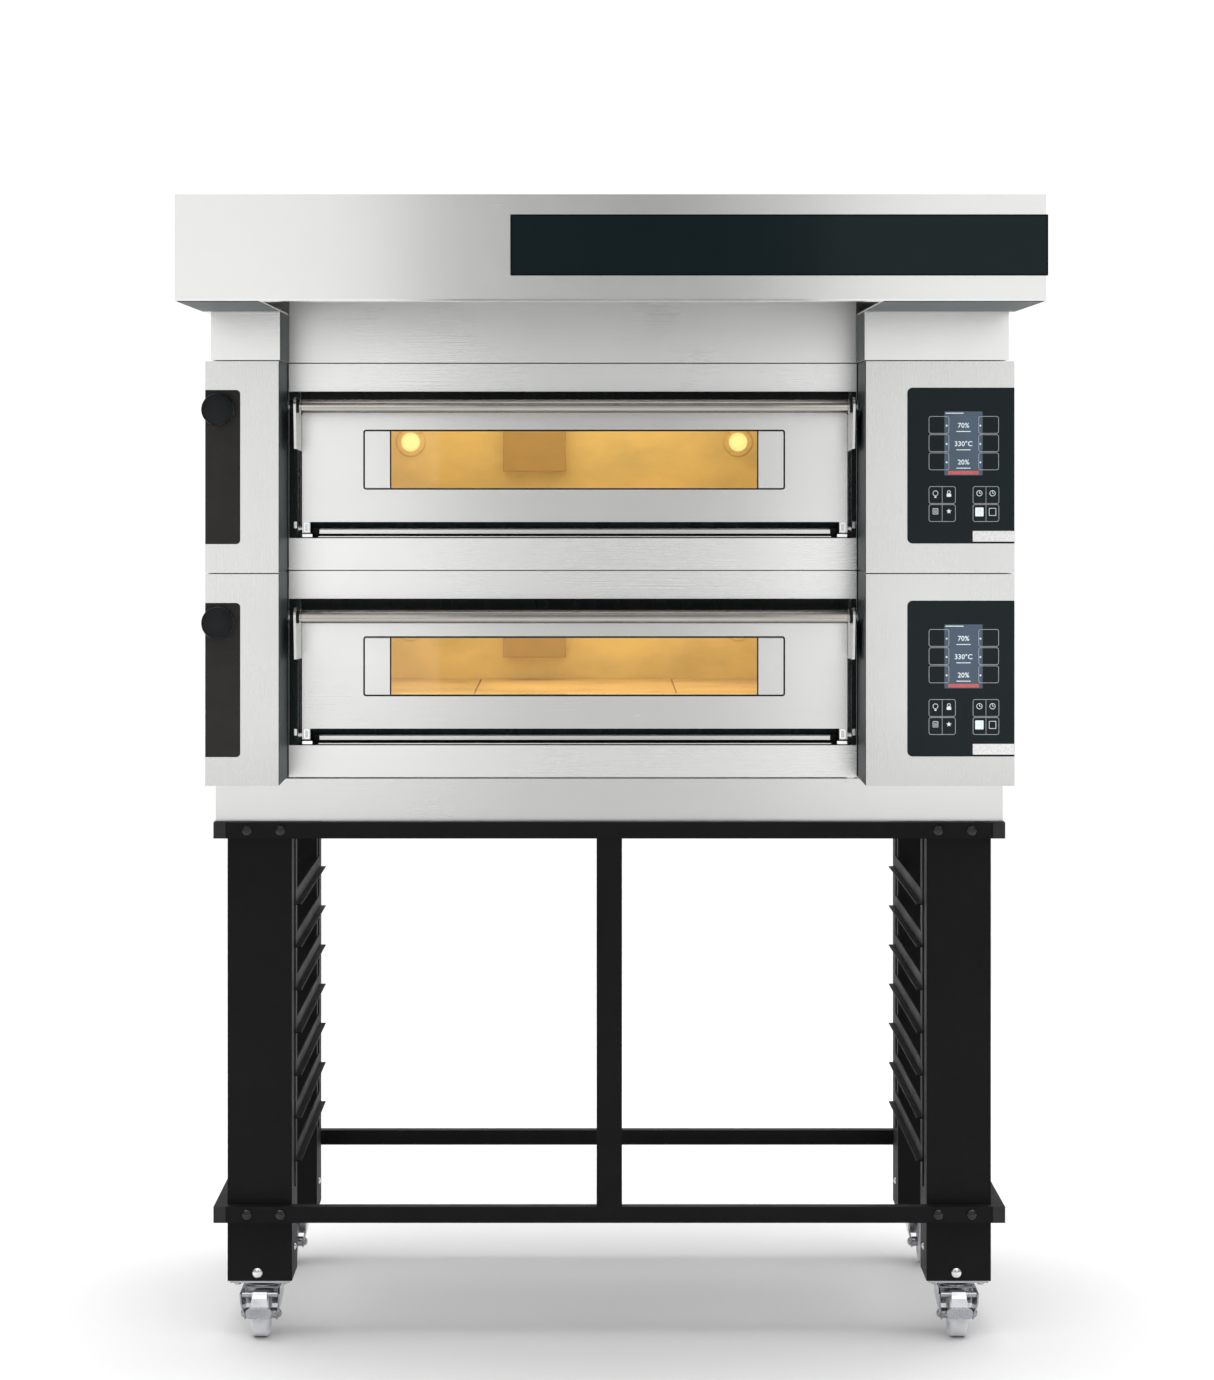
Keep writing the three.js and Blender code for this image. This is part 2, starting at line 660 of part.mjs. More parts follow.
// A flat arm from the door's end out to the bar, wrapped round the bar.
function handleArm(x) {
  const eyeR = HANDLE_R + 3.5;
  const foot = [205, 270];       // heights where the arm meets the door's end
  const elbow = 211;
  const outline = new THREE.Shape();
  outline.moveTo(DOOR_BACK - 2, foot[0]);
  outline.lineTo(HANDLE_Y, elbow);
  outline.lineTo(HANDLE_Y - eyeR, HANDLE_Z);
  outline.absarc(HANDLE_Y, HANDLE_Z, eyeR, Math.PI, 0, true);
  outline.lineTo(DOOR_FRONT, foot[1]);
  outline.lineTo(DOOR_BACK - 2, foot[1]);
  outline.closePath();
  const eye = bar('x', grown(x, 1), [HANDLE_Y, HANDLE_Z], HANDLE_R + GAP, 20);
  return sidePlate(outline, x).subtract(eye);
}

function buildDeck(name, base) {
  const deck = new THREE.Group();
  deck.position.z = base;
  const arm = [0.5, 4.5];        // from the door's end to the arm's two faces
  const leftArmX = [DOOR_X[0] - arm[1], DOOR_X[0] - arm[0]];
  const rightArmX = [DOOR_X[1] + arm[0], DOOR_X[1] + arm[1]];
  node(deck, `${name}_left_casing`, leftCasing(), finish.brushed);
  node(deck, `${name}_right_casing`, rightCasing(), finish.brushed);
  node(deck, `${name}_deck_body`, deckBody(), finish.brushed);
  node(deck, `${name}_chamber_liner`, chamberLiner(), finish.chamber);
  node(deck, `${name}_baking_stone`, bakingStone(), finish.stone);
  node(deck, `${name}_heater_top`, heatingElement(CHAMBER_Z[1] + 12), finish.heater);
  node(deck, `${name}_heater_bottom`, heatingElement(CHAMBER_Z[0] - 22), finish.heater);
  node(deck, `${name}_rear_cover`, rearCover(), finish.brushed);
  node(deck, `${name}_damper_insert`, damperInsert(), finish.insert);
  node(deck, `${name}_damper_knob`, damperKnob(), finish.knob);
  node(deck, `${name}_control_panel`, controlPanel(), finish.gloss);
  node(deck, `${name}_door_panel`, doorPanel(), finish.brushed);
  node(deck, `${name}_door_glass`, doorGlass(), finish.glass);
  node(deck, `${name}_handle_bar`, handleBar(), finish.polished);
  node(deck, `${name}_handle_arm_left`, handleArm(leftArmX), finish.brushed);
  node(deck, `${name}_handle_arm_right`, handleArm(rightArmX), finish.brushed);
  group.add(deck);
}

// ---------------------------------------------------------------- assembly

buildStand();
buildCastors();
buildPlinthAndHood();
buildDeck('lower', DECK_BASE);
buildDeck('upper', DECK_BASE + DECK_H);

export default group;
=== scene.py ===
"""A two-deck electric pizza oven under a fume hood, on a castored stand, dressed round its CAD frame."""

import json
import math

import bmesh
import bpy
from mathutils import Matrix, Vector


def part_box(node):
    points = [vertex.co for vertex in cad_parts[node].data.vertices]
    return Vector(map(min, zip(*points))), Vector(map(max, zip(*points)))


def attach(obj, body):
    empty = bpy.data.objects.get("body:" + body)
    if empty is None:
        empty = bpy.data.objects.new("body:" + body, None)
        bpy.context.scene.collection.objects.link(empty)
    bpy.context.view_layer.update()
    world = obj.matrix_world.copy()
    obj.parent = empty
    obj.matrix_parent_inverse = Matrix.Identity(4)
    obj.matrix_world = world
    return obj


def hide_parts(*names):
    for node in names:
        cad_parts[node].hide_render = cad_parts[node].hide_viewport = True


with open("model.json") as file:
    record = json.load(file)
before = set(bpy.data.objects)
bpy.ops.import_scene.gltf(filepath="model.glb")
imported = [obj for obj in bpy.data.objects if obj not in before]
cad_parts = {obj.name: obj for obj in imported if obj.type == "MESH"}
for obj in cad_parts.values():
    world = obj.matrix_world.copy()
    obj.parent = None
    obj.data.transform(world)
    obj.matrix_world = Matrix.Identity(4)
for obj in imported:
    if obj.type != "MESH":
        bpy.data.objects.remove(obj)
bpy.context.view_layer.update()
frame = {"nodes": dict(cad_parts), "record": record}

NODES = frame["nodes"]
DECKS = ("lower", "upper")
MM = 0.001
ALONG_X = (1, 0, 0)
TO_FRONT = (0, -1, 0)

# ------------------------------------------------------------------ material building blocks


def new_material(name, color, metallic, roughness, **inputs):
    """A Principled material, with its uniform values set on the shader's own sockets."""
    material = bpy.data.materials.new(name)
    material.use_nodes = True
    shader = material.node_tree.nodes["Principled BSDF"]
    shader.inputs["Base Color"].default_value = (*color, 1.0)
    shader.inputs["Metallic"].default_value = metallic
    shader.inputs["Roughness"].default_value = roughness
    for socket, value in inputs.items():
        shader.inputs[socket.replace("_", " ")].default_value = value
    return material, material.node_tree, shader


def noise(tree, scale, detail=2.0, roughness=0.5):
    """Noise over the object's own metres, stretched by a scale for each axis."""
    coordinates = tree.nodes.new("ShaderNodeTexCoord")
    mapping = tree.nodes.new("ShaderNodeMapping")
    mapping.inputs["Scale"].default_value = scale
    texture = tree.nodes.new("ShaderNodeTexNoise")
    texture.inputs["Scale"].default_value = 1.0
    texture.inputs["Detail"].default_value = detail
    texture.inputs["Roughness"].default_value = roughness
    tree.links.new(coordinates.outputs["Object"], mapping.inputs["Vector"])
    tree.links.new(mapping.outputs["Vector"], texture.inputs["Vector"])
    return texture.outputs["Fac"]


def remap(tree, value, low, high, start=0.3, end=0.7):
    node = tree.nodes.new("ShaderNodeMapRange")
    node.inputs["From Min"].default_value = start
    node.inputs["From Max"].default_value = end
    node.inputs["To Min"].default_value = low
    node.inputs["To Max"].default_value = high
    tree.links.new(value, node.inputs["Value"])
    return node.outputs["Result"]


def ramp(tree, value, *stops):
    """A colour ramp through (position, (r, g, b)) stops."""
    node = tree.nodes.new("ShaderNodeValToRGB")
    elements = node.color_ramp.elements
    while len(elements) < len(stops):
        elements.new(0.5)
    for element, (position, color) in zip(elements, stops):
        element.position = position
        element.color = (*color, 1.0)
    tree.links.new(value, node.inputs["Fac"])
    return node.outputs["Color"]


def add_values(tree, first, second, operation="ADD"):
    node = tree.nodes.new("ShaderNodeMath")
    node.operation = operation
    tree.links.new(first, node.inputs[0])
    tree.links.new(second, node.inputs[1])
    return node.outputs["Value"]


def bump(tree, shader, height, strength, distance):
    node = tree.nodes.new("ShaderNodeBump")
    node.inputs["Strength"].default_value = strength
    node.inputs["Distance"].default_value = distance
    tree.links.new(height, node.inputs["Height"])
    tree.links.new(node.outputs["Normal"], shader.inputs["Normal"])


def shade(color, factor):
    return tuple(channel * factor for channel in color)


def vary_color(tree, shader, value, color, *shades, socket="Base Color"):
    """Colours the surface by a value, through (position, factor) shades of one colour."""
    stops = [(position, shade(color, factor)) for position, factor in shades]
    tree.links.new(ramp(tree, value, *stops), shader.inputs[socket])


def vary_roughness(tree, shader, value, low, high, fine=None, fine_low=0.0, fine_high=0.0):
    """Spreads the roughness between two limits by a value, with a smaller spread on top."""
    spread = remap(tree, value, low, high)
    if fine:
        spread = add_values(tree, spread, remap(tree, fine, fine_low, fine_high))
    tree.links.new(spread, shader.inputs["Roughness"])


# ------------------------------------------------------------------ materials


def brushed_steel(name, grain, color, roughness):
    """Satin stainless steel: fine parallel scratches, broader streaks and faint hand smudges."""
    material, tree, shader = new_material(name, color, 1.0, roughness)
    along, scratch, streak = 5.0, 1500.0, 420.0
    if grain == "horizontal":
        scratch_scale = (along, along, scratch)
        streak_scale = (along / 3, along / 3, streak)
    else:
        scratch_scale = (scratch, scratch, along)
        streak_scale = (streak, streak, along / 3)
    scratches = noise(tree, scratch_scale, detail=3.0, roughness=0.7)
    streaks = noise(tree, streak_scale, detail=2.0)
    smudges = noise(tree, (3.1, 3.1, 3.1), detail=4.0, roughness=0.6)
    grain_value = add_values(tree, remap(tree, scratches, 0.0, 0.7), remap(tree, streaks, 0.0, 0.3))
    vary_color(tree, shader, grain_value, color, (0.0, 0.98), (1.0, 1.02))
    vary_roughness(tree, shader, scratches, roughness - 0.015, roughness + 0.015, smudges, -0.025, 0.03)
    bump(tree, shader, scratches, 0.035, 0.0003)
    return material


def painted_shade_steel(name, color, roughness):
    """Dark sheet steel for painted shade, laid where sides and undersides fall in shade: brushed, nearly
    matt, its darkness clouded at random.
    """
    material, tree, shader = new_material(name, color, 0.0, roughness, Specular_IOR_Level=0.1)
    scratches = noise(tree, (900.0, 900.0, 6.0), detail=3.0)
    clouds = noise(tree, (4.0, 4.0, 2.5), detail=4.0, roughness=0.6)
    vary_color(tree, shader, clouds, color, (0.3, 0.7), (0.7, 1.35))
    vary_roughness(tree, shader, scratches, roughness - 0.06, roughness + 0.06)
    bump(tree, shader, scratches, 0.1, 0.0003)
    return material


def polished_steel(name, color, roughness, edge=0.9):
    """Turned and polished bar: faint rings of lapping marks, dull finger marks, and edges darkened by a tint
    on the reflection, a painted shade.
    """
    painted_edge_shade = (edge, edge, edge, 1.0)
    material, tree, shader = new_material(name, color, 1.0, roughness, Specular_Tint=painted_edge_shade)
    lapping = noise(tree, (1400.0, 90.0, 90.0), detail=2.0)
    marks = noise(tree, (14.0, 40.0, 40.0), detail=5.0, roughness=0.65)
    vary_color(tree, shader, marks, color, (0.3, 0.94), (0.7, 1.04))
    vary_roughness(tree, shader, marks, roughness - 0.04, roughness + 0.08, lapping, -0.02, 0.03)
    bump(tree, shader, lapping, 0.05, 0.0003)
    return material


def powder_coat(name, color, roughness, specular=0.10):
    """Satin black powder coat: orange-peel texture, with slightly rubbed patches."""
    material, tree, shader = new_material(name, color, 0.0, roughness, Specular_IOR_Level=specular)
    peel = noise(tree, (520.0, 520.0, 520.0), detail=2.0)
    rubbed = noise(tree, (7.0, 7.0, 7.0), detail=5.0, roughness=0.6)
    vary_color(tree, shader, rubbed, color, (0.3, 0.85), (0.7, 1.25))
    vary_roughness(tree, shader, rubbed, roughness - 0.06, roughness + 0.08, peel, -0.03, 0.03)
    bump(tree, shader, peel, 0.35, 0.0005)
    return material


def zinc_plate(name, color, roughness):
    """Bright zinc plating on pressed steel: cloudy passivation and small pits."""
    material, tree, shader = new_material(name, color, 1.0, roughness)
    clouds = noise(tree, (45.0, 45.0, 45.0), detail=5.0, roughness=0.6)
    pits = noise(tree, (700.0, 700.0, 700.0), detail=2.0)
    vary_color(tree, shader, clouds, color, (0.25, 0.8), (0.5, 1.0), (0.75, 1.12))
    vary_roughness(tree, shader, clouds, roughness - 0.07, roughness + 0.12)
    bump(tree, shader, pits, 0.15, 0.0003)
    return material


def moulded_plastic(name, color, roughness, texture_size=900.0, specular=0.16):
    """Moulded plastic with a fine spark-eroded texture and a worn sheen."""
    material, tree, shader = new_material(name, color, 0.0, roughness, Specular_IOR_Level=specular)
    spark = noise(tree, (texture_size,) * 3, detail=2.0)
    worn = noise(tree, (30.0, 30.0, 30.0), detail=4.0, roughness=0.6)
    vary_color(tree, shader, worn, color, (0.3, 0.88), (0.7, 1.15))
    vary_roughness(tree, shader, worn, roughness - 0.06, roughness + 0.07)
    bump(tree, shader, spark, 0.2, 0.0003)
    return material


def gloss_panel(name, color, roughness):
    """Back-painted glass or acrylic: a mirror-like coat with faint wipe marks."""
    material, tree, shader = new_material(
        name, color, 0.0, roughness, Coat_Weight=0.04, Coat_Roughness=0.03, Specular_IOR_Level=0.16)
    wipes = noise(tree, (26.0, 26.0, 7.0), detail=5.0, roughness=0.65)
    tint = noise(tree, (3.0, 3.0, 3.0), detail=2.0)
    vary_color(tree, shader, tint, color, (0.3, 0.9), (0.7, 1.15))
    vary_roughness(tree, shader, wipes, roughness, roughness + 0.1)
    return material


def fired_stone(name, color):
    """Refractory slab: pores, speckled grog and browned patches."""
    material, tree, shader = new_material(name, color, 0.0, 0.9)
    grog = noise(tree, (160.0, 160.0, 160.0), detail=6.0, roughness=0.7)
    browned = noise(tree, (6.0, 6.0, 6.0), detail=4.0, roughness=0.6)
    mottle = add_values(tree, remap(tree, grog, 0.0, 0.45), remap(tree, browned, 0.0, 0.55))
    vary_color(tree, shader, mottle, color, (0.0, 0.62), (0.5, 1.0), (1.0, 1.2))
    vary_roughness(tree, shader, grog, 0.82, 0.95)
    bump(tree, shader, grog, 0.5, 0.0012)
    return material


def tempered_steel(name, color, roughness, glow=0.0):
    """Chamber steel tinted by heat, straw to bronze. Its glow, where given one, is painted light standing in
    for the lamps' light on it.
    """
    material, tree, shader = new_material(
        name, color, 1.0, roughness, Emission_Color=(1.0, 0.66, 0.24, 1.0), Emission_Strength=glow)
    tint = noise(tree, (5.0, 5.0, 9.0), detail=5.0, roughness=0.6)
    rolled = noise(tree, (8.0, 8.0, 500.0), detail=3.0)
    vary_color(tree, shader, tint, color, (0.25, 0.72), (0.55, 1.0), (0.8, 1.15))
    vary_roughness(tree, shader, tint, roughness - 0.08, roughness + 0.1, rolled, -0.03, 0.03)
    bump(tree, shader, rolled, 0.1, 0.0005)
    return material


def clear_glass(name, color):
    """Oven glass, slightly browned, with a film of grease that scatters the edges of reflections."""
    material, tree, shader = new_material(name, color, 0.0, 0.02, Transmission_Weight=1.0, IOR=1.45)
    film = noise(tree, (18.0, 18.0, 30.0), detail=5.0, roughness=0.65)
    vary_color(tree, shader, film, color, (0.3, 0.96), (0.7, 1.0))
    vary_roughness(tree, shader, film, 0.0, 0.06)
    return material


def lit_screen(name, color, strength):
    """A lit liquid-crystal panel: a faint pixel grid and a backlight that falls off unevenly."""
    material, tree, shader = new_material(name, shade(color, 0.3), 0.0, 0.2, Emission_Strength=strength)
    backlight = noise(tree, (22.0, 22.0, 14.0), detail=2.0)
    grid = noise(tree, (4200.0, 10.0, 10.0), detail=1.0)
    tone = add_values(tree, remap(tree, backlight, 0.0, 0.8), remap(tree, grid, 0.0, 0.2))
    vary_color(tree, shader, tone, color, (0.0, 0.82), (1.0, 1.15), socket="Emission Color")
    vary_roughness(tree, shader, backlight, 0.15, 0.28)
    return material


def printed_ink(name, color, glow):
    """Printed marks, a little uneven in density, with a glow: on the display it is the display's own light,
    on the outlines and the silver strip it is painted light.
    """
    material, tree, shader = new_material(name, color, 0.0, 0.45, Emission_Strength=glow)
    density = noise(tree, (320.0, 320.0, 320.0), detail=3.0)
    for socket in ("Base Color", "Emission Color"):
        vary_color(tree, shader, density, color, (0.3, 0.8), (0.7, 1.0), socket=socket)
    return material


def lamp_glass(name, color, glow):
    """Frosted lamp lens, bright in its middle and fading into the wall round its rim."""
    material, tree, shader = new_material(name, color, 0.0, 0.5, Emission_Strength=glow)
    facing = tree.nodes.new("ShaderNodeLayerWeight")
    facing.inputs["Blend"].default_value = 0.5
    frost = noise(tree, (130.0, 130.0, 130.0), detail=3.0)
    fade = remap(tree, facing.outputs["Facing"], 0.8, 0.0, 0.0, 0.42)
    tree.links.new(
        add_values(tree, fade, remap(tree, frost, 0.9, 1.0), "MULTIPLY"),
        shader.inputs["Alpha"],
    )
    vary_color(tree, shader, frost, color, (0.3, 0.94), (0.7, 1.0), socket="Emission Color")
    return material


STEEL = (0.80, 0.80, 0.79)
BLACK = (0.010, 0.010, 0.011)

MATERIALS = {
    "steel_h": brushed_steel("steel_horizontal_grain", "horizontal", STEEL, 0.24),
    # painted shade: a darker copy of the steel, for the casings
    "steel_v_shaded": brushed_steel("steel_vertical_grain_painted_shade", "vertical", shade(STEEL, 0.86), 0.27),
    # painted light: a brighter copy of the steel, for the deck bodies and the middle panel
    "steel_lit": brushed_steel("steel_panel_painted_light", "horizontal", shade(STEEL, 1.16), 0.28),
    # a duller plain sheet for the rear covers, partly painted shade that dims their glare
    "steel_back_partly_shaded": brushed_steel("steel_cover_sheet_partly_painted_shade", "horizontal", shade(STEEL, 0.74), 0.34),
    # painted shade: a dark steel for sheets set where there is only shade
    "shaded": painted_shade_steel("painted_shade_steel", (0.060, 0.072, 0.076), 0.45),
    # painted shade: a dark tint darkens the handle's edges
    "handle": polished_steel("handle_steel", (0.46, 0.44, 0.41), 0.10, 0.15),
    "chrome": polished_steel("chrome_trim", (0.86, 0.86, 0.86), 0.10),
    "coat": powder_coat("black_powder_coat", shade(BLACK, 0.85), 0.58),
    "bolt": powder_coat("black_bolt_paint", shade(BLACK, 0.6), 0.22, 0.5),
    "cap": moulded_plastic("grey_end_cap", (0.030, 0.030, 0.032), 0.5),
    "zinc": zinc_plate("zinc_plate", (0.42, 0.43, 0.45), 0.20),
    "tread": moulded_plastic("pale_tread", (0.78, 0.78, 0.81), 0.42, 500.0),
    "insert": moulded_plastic("matte_insert", (0.030, 0.029, 0.026), 0.55, 1200.0),
    "knob": moulded_plastic("satin_knob", (0.004, 0.006, 0.007), 0.30, 1000.0, 0.2),
    "gloss": gloss_panel("black_gloss", (0.003, 0.010, 0.012), 0.10),
    "gasket": moulded_plastic("black_gasket", (0.012, 0.012, 0.012), 0.6),
    "stone": fired_stone("fired_stone", (0.70, 0.52, 0.27)),
    # painted light: a faint glow, and an amber that is partly heat tint and partly painted warmth of the
    # lamps' light
    "chamber": tempered_steel("tinted_steel_painted_glow", (0.80, 0.67, 0.35), 0.42, 0.06),
    # painted shade: the flue box is darker for the shade on its front, and its glow is painted light
    "flue": tempered_steel("flue_steel_painted_shade_and_glow", (0.42, 0.30, 0.12), 0.5, 0.10),
    "enamel": gloss_panel("black_enamel", (0.004, 0.008, 0.009), 0.22),
    "element": tempered_steel("oxidised_element", (0.16, 0.13, 0.11), 0.5),
    "glass": clear_glass("browned_glass", (1.0, 0.93, 0.74)),
    "lamp": lamp_glass("lamp_glow", (1.0, 0.84, 0.48), 0.75),
    "screen": lit_screen("display_screen", (0.075, 0.125, 0.19), 0.45),
    "alert": printed_ink("display_bar", (0.50, 0.10, 0.09), 0.5),
    "ink": printed_ink("white_marks", (0.72, 0.80, 0.82), 0.5),
    # painted light: a glow on the grey printed outlines
    "outline": printed_ink("grey_outlines_painted_glow", (0.36, 0.37, 0.37), 0.4),
    # painted light: a glow on the silver printed strip
    "silver": printed_ink("silver_strip_painted_glow", (0.86, 0.86, 0.86), 0.2),
}

SLOT_MATERIAL = {
    "stand_black": "coat",
    "zinc": "zinc",
    "castor_tread": "tread",
    "brushed_steel": "steel_h",
    "black_gloss": "gloss",
    "chamber_steel": "chamber",
    "refractory": "stone",
    "element_steel": "element",
    "insert_black": "insert",
    "knob_black": "knob",
    "control_glass": "gloss",
    "door_glass": "glass",
    "handle_steel": "handle",
}

# ------------------------------------------------------------------ mesh building blocks


class Shape:
    """Closed solids collected into one mesh."""

    def __init__(self):
        self.mesh = bmesh.new()

    def loft(self, loops, closed=False):
        """Joins loops of equally many points, in order. The ends are capped unless the loops close up."""
        rings = [[self.mesh.verts.new(point) for point in loop] for loop in loops]
        pairs = list(zip(rings, rings[1:]))
        if closed:
            pairs.append((rings[-1], rings[0]))
        else:
            self.mesh.faces.new(rings[0][::-1])
            self.mesh.faces.new(rings[-1])
        for first, second in pairs:
            count = len(first)
            for i in range(count):
                j = (i + 1) % count
                self.mesh.faces.new((first[i], first[j], second[j], second[i]))
        return self

    def block(self, low, high):
        x, y, z = zip(low, high)
        loops = [[(x[0], y[0], h), (x[1], y[0], h), (x[1], y[1], h), (x[0], y[1], h)] for h in z]
        return self.loft(loops)

    def bar(self, x, y, z):
        """A block given by its range along each axis."""
        return self.block(*zip(x, y, z))

    def plate(self, outline, y_front, y_back):
        """An outline in X and Z with a thickness along Y."""
        return self.loft([[(x, y, z) for x, z in outline] for y in (y_front, y_back)])

    def card(self, x, z, radius, y_front, y_back, steps=6):
        """A plate with round corners."""
        return self.plate(rounded(x, z, radius, steps), y_front, y_back)

    def frame(self, x, z, radius, line, y_front, y_back):
        """The outline of a rounded rectangle, drawn with a line of that width."""
        return self.hollow_plate(*ring_of(x, z, radius, line), y_front, y_back)

    def hollow_plate(self, outer, inner, y_front, y_back):
        """The band between two outlines with the same number of points."""
        loops = [
            [(x, y, z) for x, z in outline]
            for outline, y in ((outer, y_front), (outer, y_back), (inner, y_back), (inner, y_front))
        ]
        return self.loft(loops, closed=True)

    def turned(self, profile, centre, axis, segments=48):
        """A lathe solid. The profile is (radius, distance along the axis) with both ends off the axis."""
        turn = Vector(axis).to_track_quat("Z", "Y").to_matrix()
        loops = []
        for radius, along in profile:
            angles = [2 * math.pi * i / segments for i in range(segments)]
            loops.append([
                Vector(centre) + turn @ Vector((radius * math.cos(a), radius * math.sin(a), along))
                for a in angles
            ])
        return self.loft(loops)

    def tube(self, section, centre, axis, segments=48):
        """A ring: a closed (radius, distance along the axis) section swept once round the axis."""
        turn = Vector(axis).to_track_quat("Z", "Y").to_matrix()
        loops = []
        for i in range(segments):
            angle = 2 * math.pi * i / segments
            direction = (math.cos(angle), math.sin(angle))
            loops.append([
                Vector(centre) + turn @ Vector((radius * direction[0], radius * direction[1], along))
                for radius, along in section
            ])
        return self.loft(loops, closed=True)

    def piece(self, name, material, body, slot, bevel=0.0, smooth=False):
        """Makes the Blender piece and puts it on its CAD body."""
        bmesh.ops.recalc_face_normals(self.mesh, faces=self.mesh.faces)
        data = bpy.data.meshes.new(name)
        self.mesh.to_mesh(data)
        self.mesh.free()
        made = bpy.data.objects.new(name, data)
        bpy.context.scene.collection.objects.link(made)
        data.materials.append(MATERIALS[material])
        if smooth:
            data.shade_smooth()
            data.set_sharp_from_angle(angle=math.radians(35))
        if bevel:
            soften(made, bevel)
        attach(made, body)
        return made


def soften(made, width, segments=2):
    modifier = made.modifiers.new("edges", "BEVEL")
    modifier.width = width
    modifier.segments = segments
    modifier.limit_method = "ANGLE"
    modifier.angle_limit = math.radians(40)
    modifier.harden_normals = True
    return modifier


def span(middle, below, above=None):
    """A range round a middle, reaching as far above it as below unless told otherwise."""
    return (middle - below, middle + (below if above is None else above))


def rounded(x, z, radius, steps=6):
    """A rectangle in X and Z with round corners, anticlockwise from the lower left."""
    points = []
    centres = [
        (x[0] + radius, z[0] + radius, 180), (x[1] - radius, z[0] + radius, 270),
        (x[1] - radius, z[1] - radius, 0), (x[0] + radius, z[1] - radius, 90),
    ]
    for cx, cz, start in centres:
        for i in range(steps + 1):
            angle = math.radians(start + 90 * i / steps)
            points.append((cx + radius * math.cos(angle), cz + radius * math.sin(angle)))
    return points


def ring_of(x, z, radius, line):
    """Outer and inner outlines of a rounded rectangle drawn with a line of that width."""
    inner = rounded((x[0] + line, x[1] - line), (z[0] + line, z[1] - line), max(radius - line, line / 2))
    return rounded(x, z, radius), inner


def around(centre, radii, count, start=0.0):
    """Points round a centre, whose distances from it take turns through the radii given."""
    points = []
    for i in range(count):
        angle = start + 2 * math.pi * i / count
        radius = radii[i % len(radii)]
        points.append((centre[0] + radius * math.cos(angle), centre[1] + radius * math.sin(angle)))
    return points


def dome_profile(radius, height, steps=5):
    """Half a flattened ball on a flat base, from the base to the crown."""
    profile = [(radius, 0.0)]
    for i in range(1, steps + 1):
        angle = math.radians(88 * i / steps)
        profile.append((radius * math.cos(angle), height * math.sin(angle)))
    return profile


# ------------------------------------------------------------------ carried-over CAD nodes


def dress_cad_nodes():
    """Gives each CAD node its finish, and bevels its sharp edges."""
    slots = {entry["node"]: entry["material_slot"] for entry in frame["record"]["subparts"]}
    for name, node in NODES.items():
        material = SLOT_MATERIAL[slots[name]]
        # painted shade: casings take the darker copy of the steel
        if name.endswith("casing"):
            material = "steel_v_shaded"
        # painted light: deck bodies take the brighter copy of the steel
        if name.endswith("deck_body"):
            material = "steel_lit"
        # rear covers take the dimmer copy of the steel, partly painted shade
        if name.endswith("rear_cover"):
            material = "steel_back_partly_shaded"
        node.data.materials.clear()
        node.data.materials.append(MATERIALS[material])
        for polygon in node.data.polygons:
            polygon.use_smooth = False
        if "heater" not in name and "glass" not in name:
            soften(node, 0.6 * MM)


# ------------------------------------------------------------------ doors


def handle(deck):
    """Round bar between two arms, with black spacer rings, chrome collars and domed chrome ends."""
    low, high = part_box(f"{deck}_handle_bar")
    left_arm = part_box(f"{deck}_handle_arm_left")
    right_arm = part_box(f"{deck}_handle_arm_right")
    axis_point = (0, (low.y + high.y) / 2, (low.z + high.z) / 2)
    collar = (high.z - low.z) / 2
    radius = collar - 0.6 * MM
    core = collar - 3 * MM
    round_off = 0.8 * MM
    tube_ends = (left_arm[1].x + 8 * MM, right_arm[0].x - 8 * MM)
    tube = Shape()
    chrome = Shape()
    rings = Shape()
    tube.turned(
        [(radius - 1 * MM, tube_ends[0]), (radius, tube_ends[0] + 1 * MM),
         (radius, tube_ends[1] - 1 * MM), (radius - 1 * MM, tube_ends[1])],
        axis_point, ALONG_X, 64)
    ends = (
        # the bar's end, the arm's outer and inner faces, the tube's end, and the way inwards
        (low.x, left_arm[0].x, left_arm[1].x, tube_ends[0], MM),
        (high.x, right_arm[1].x, right_arm[0].x, tube_ends[1], -MM),
    )
    for end, outer_face, inner_face, tube_end, inward in ends:
        chrome.turned(
            [(1 * MM, end), (core * 0.6, end + 0.5 * inward), (core - round_off, end + 1.6 * inward),
             (core, end + 3.2 * inward), (core, end + 6 * inward)],
            axis_point, ALONG_X)
        outer_ring = (end + 6.2 * inward, outer_face - 0.4 * inward)
        inner_ring = (inner_face + 0.4 * inward, inner_face + 5 * inward)
        for start, stop in (outer_ring, inner_ring):
            rings.turned(
                [(core, start), (radius - round_off, start), (radius, start + 0.6 * inward),
                 (radius, stop - 0.6 * inward), (radius - round_off, stop), (core, stop)],
                axis_point, ALONG_X)
        collar_start = inner_ring[1] + 0.2 * inward
        collar_end = tube_end - 0.1 * inward
        chrome.turned(
            [(core, collar_start), (collar - 0.4 * MM, collar_start), (collar, collar_start + 0.6 * inward),
             (collar, collar_end - 0.5 * inward), (radius, collar_end), (core, collar_end)],
            axis_point, ALONG_X)
    body = f"{deck}_door"
    handle_tube = tube.piece(f"{deck}_handle_tube", "handle", body, "handle_steel", smooth=True)
    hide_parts(f"{deck}_handle_bar")
    chrome.piece(f"{deck}_handle_collars", "chrome", body, "handle_steel", smooth=True)
    rings.piece(f"{deck}_handle_spacer_rings", "gasket", body, "knob_black", smooth=True)


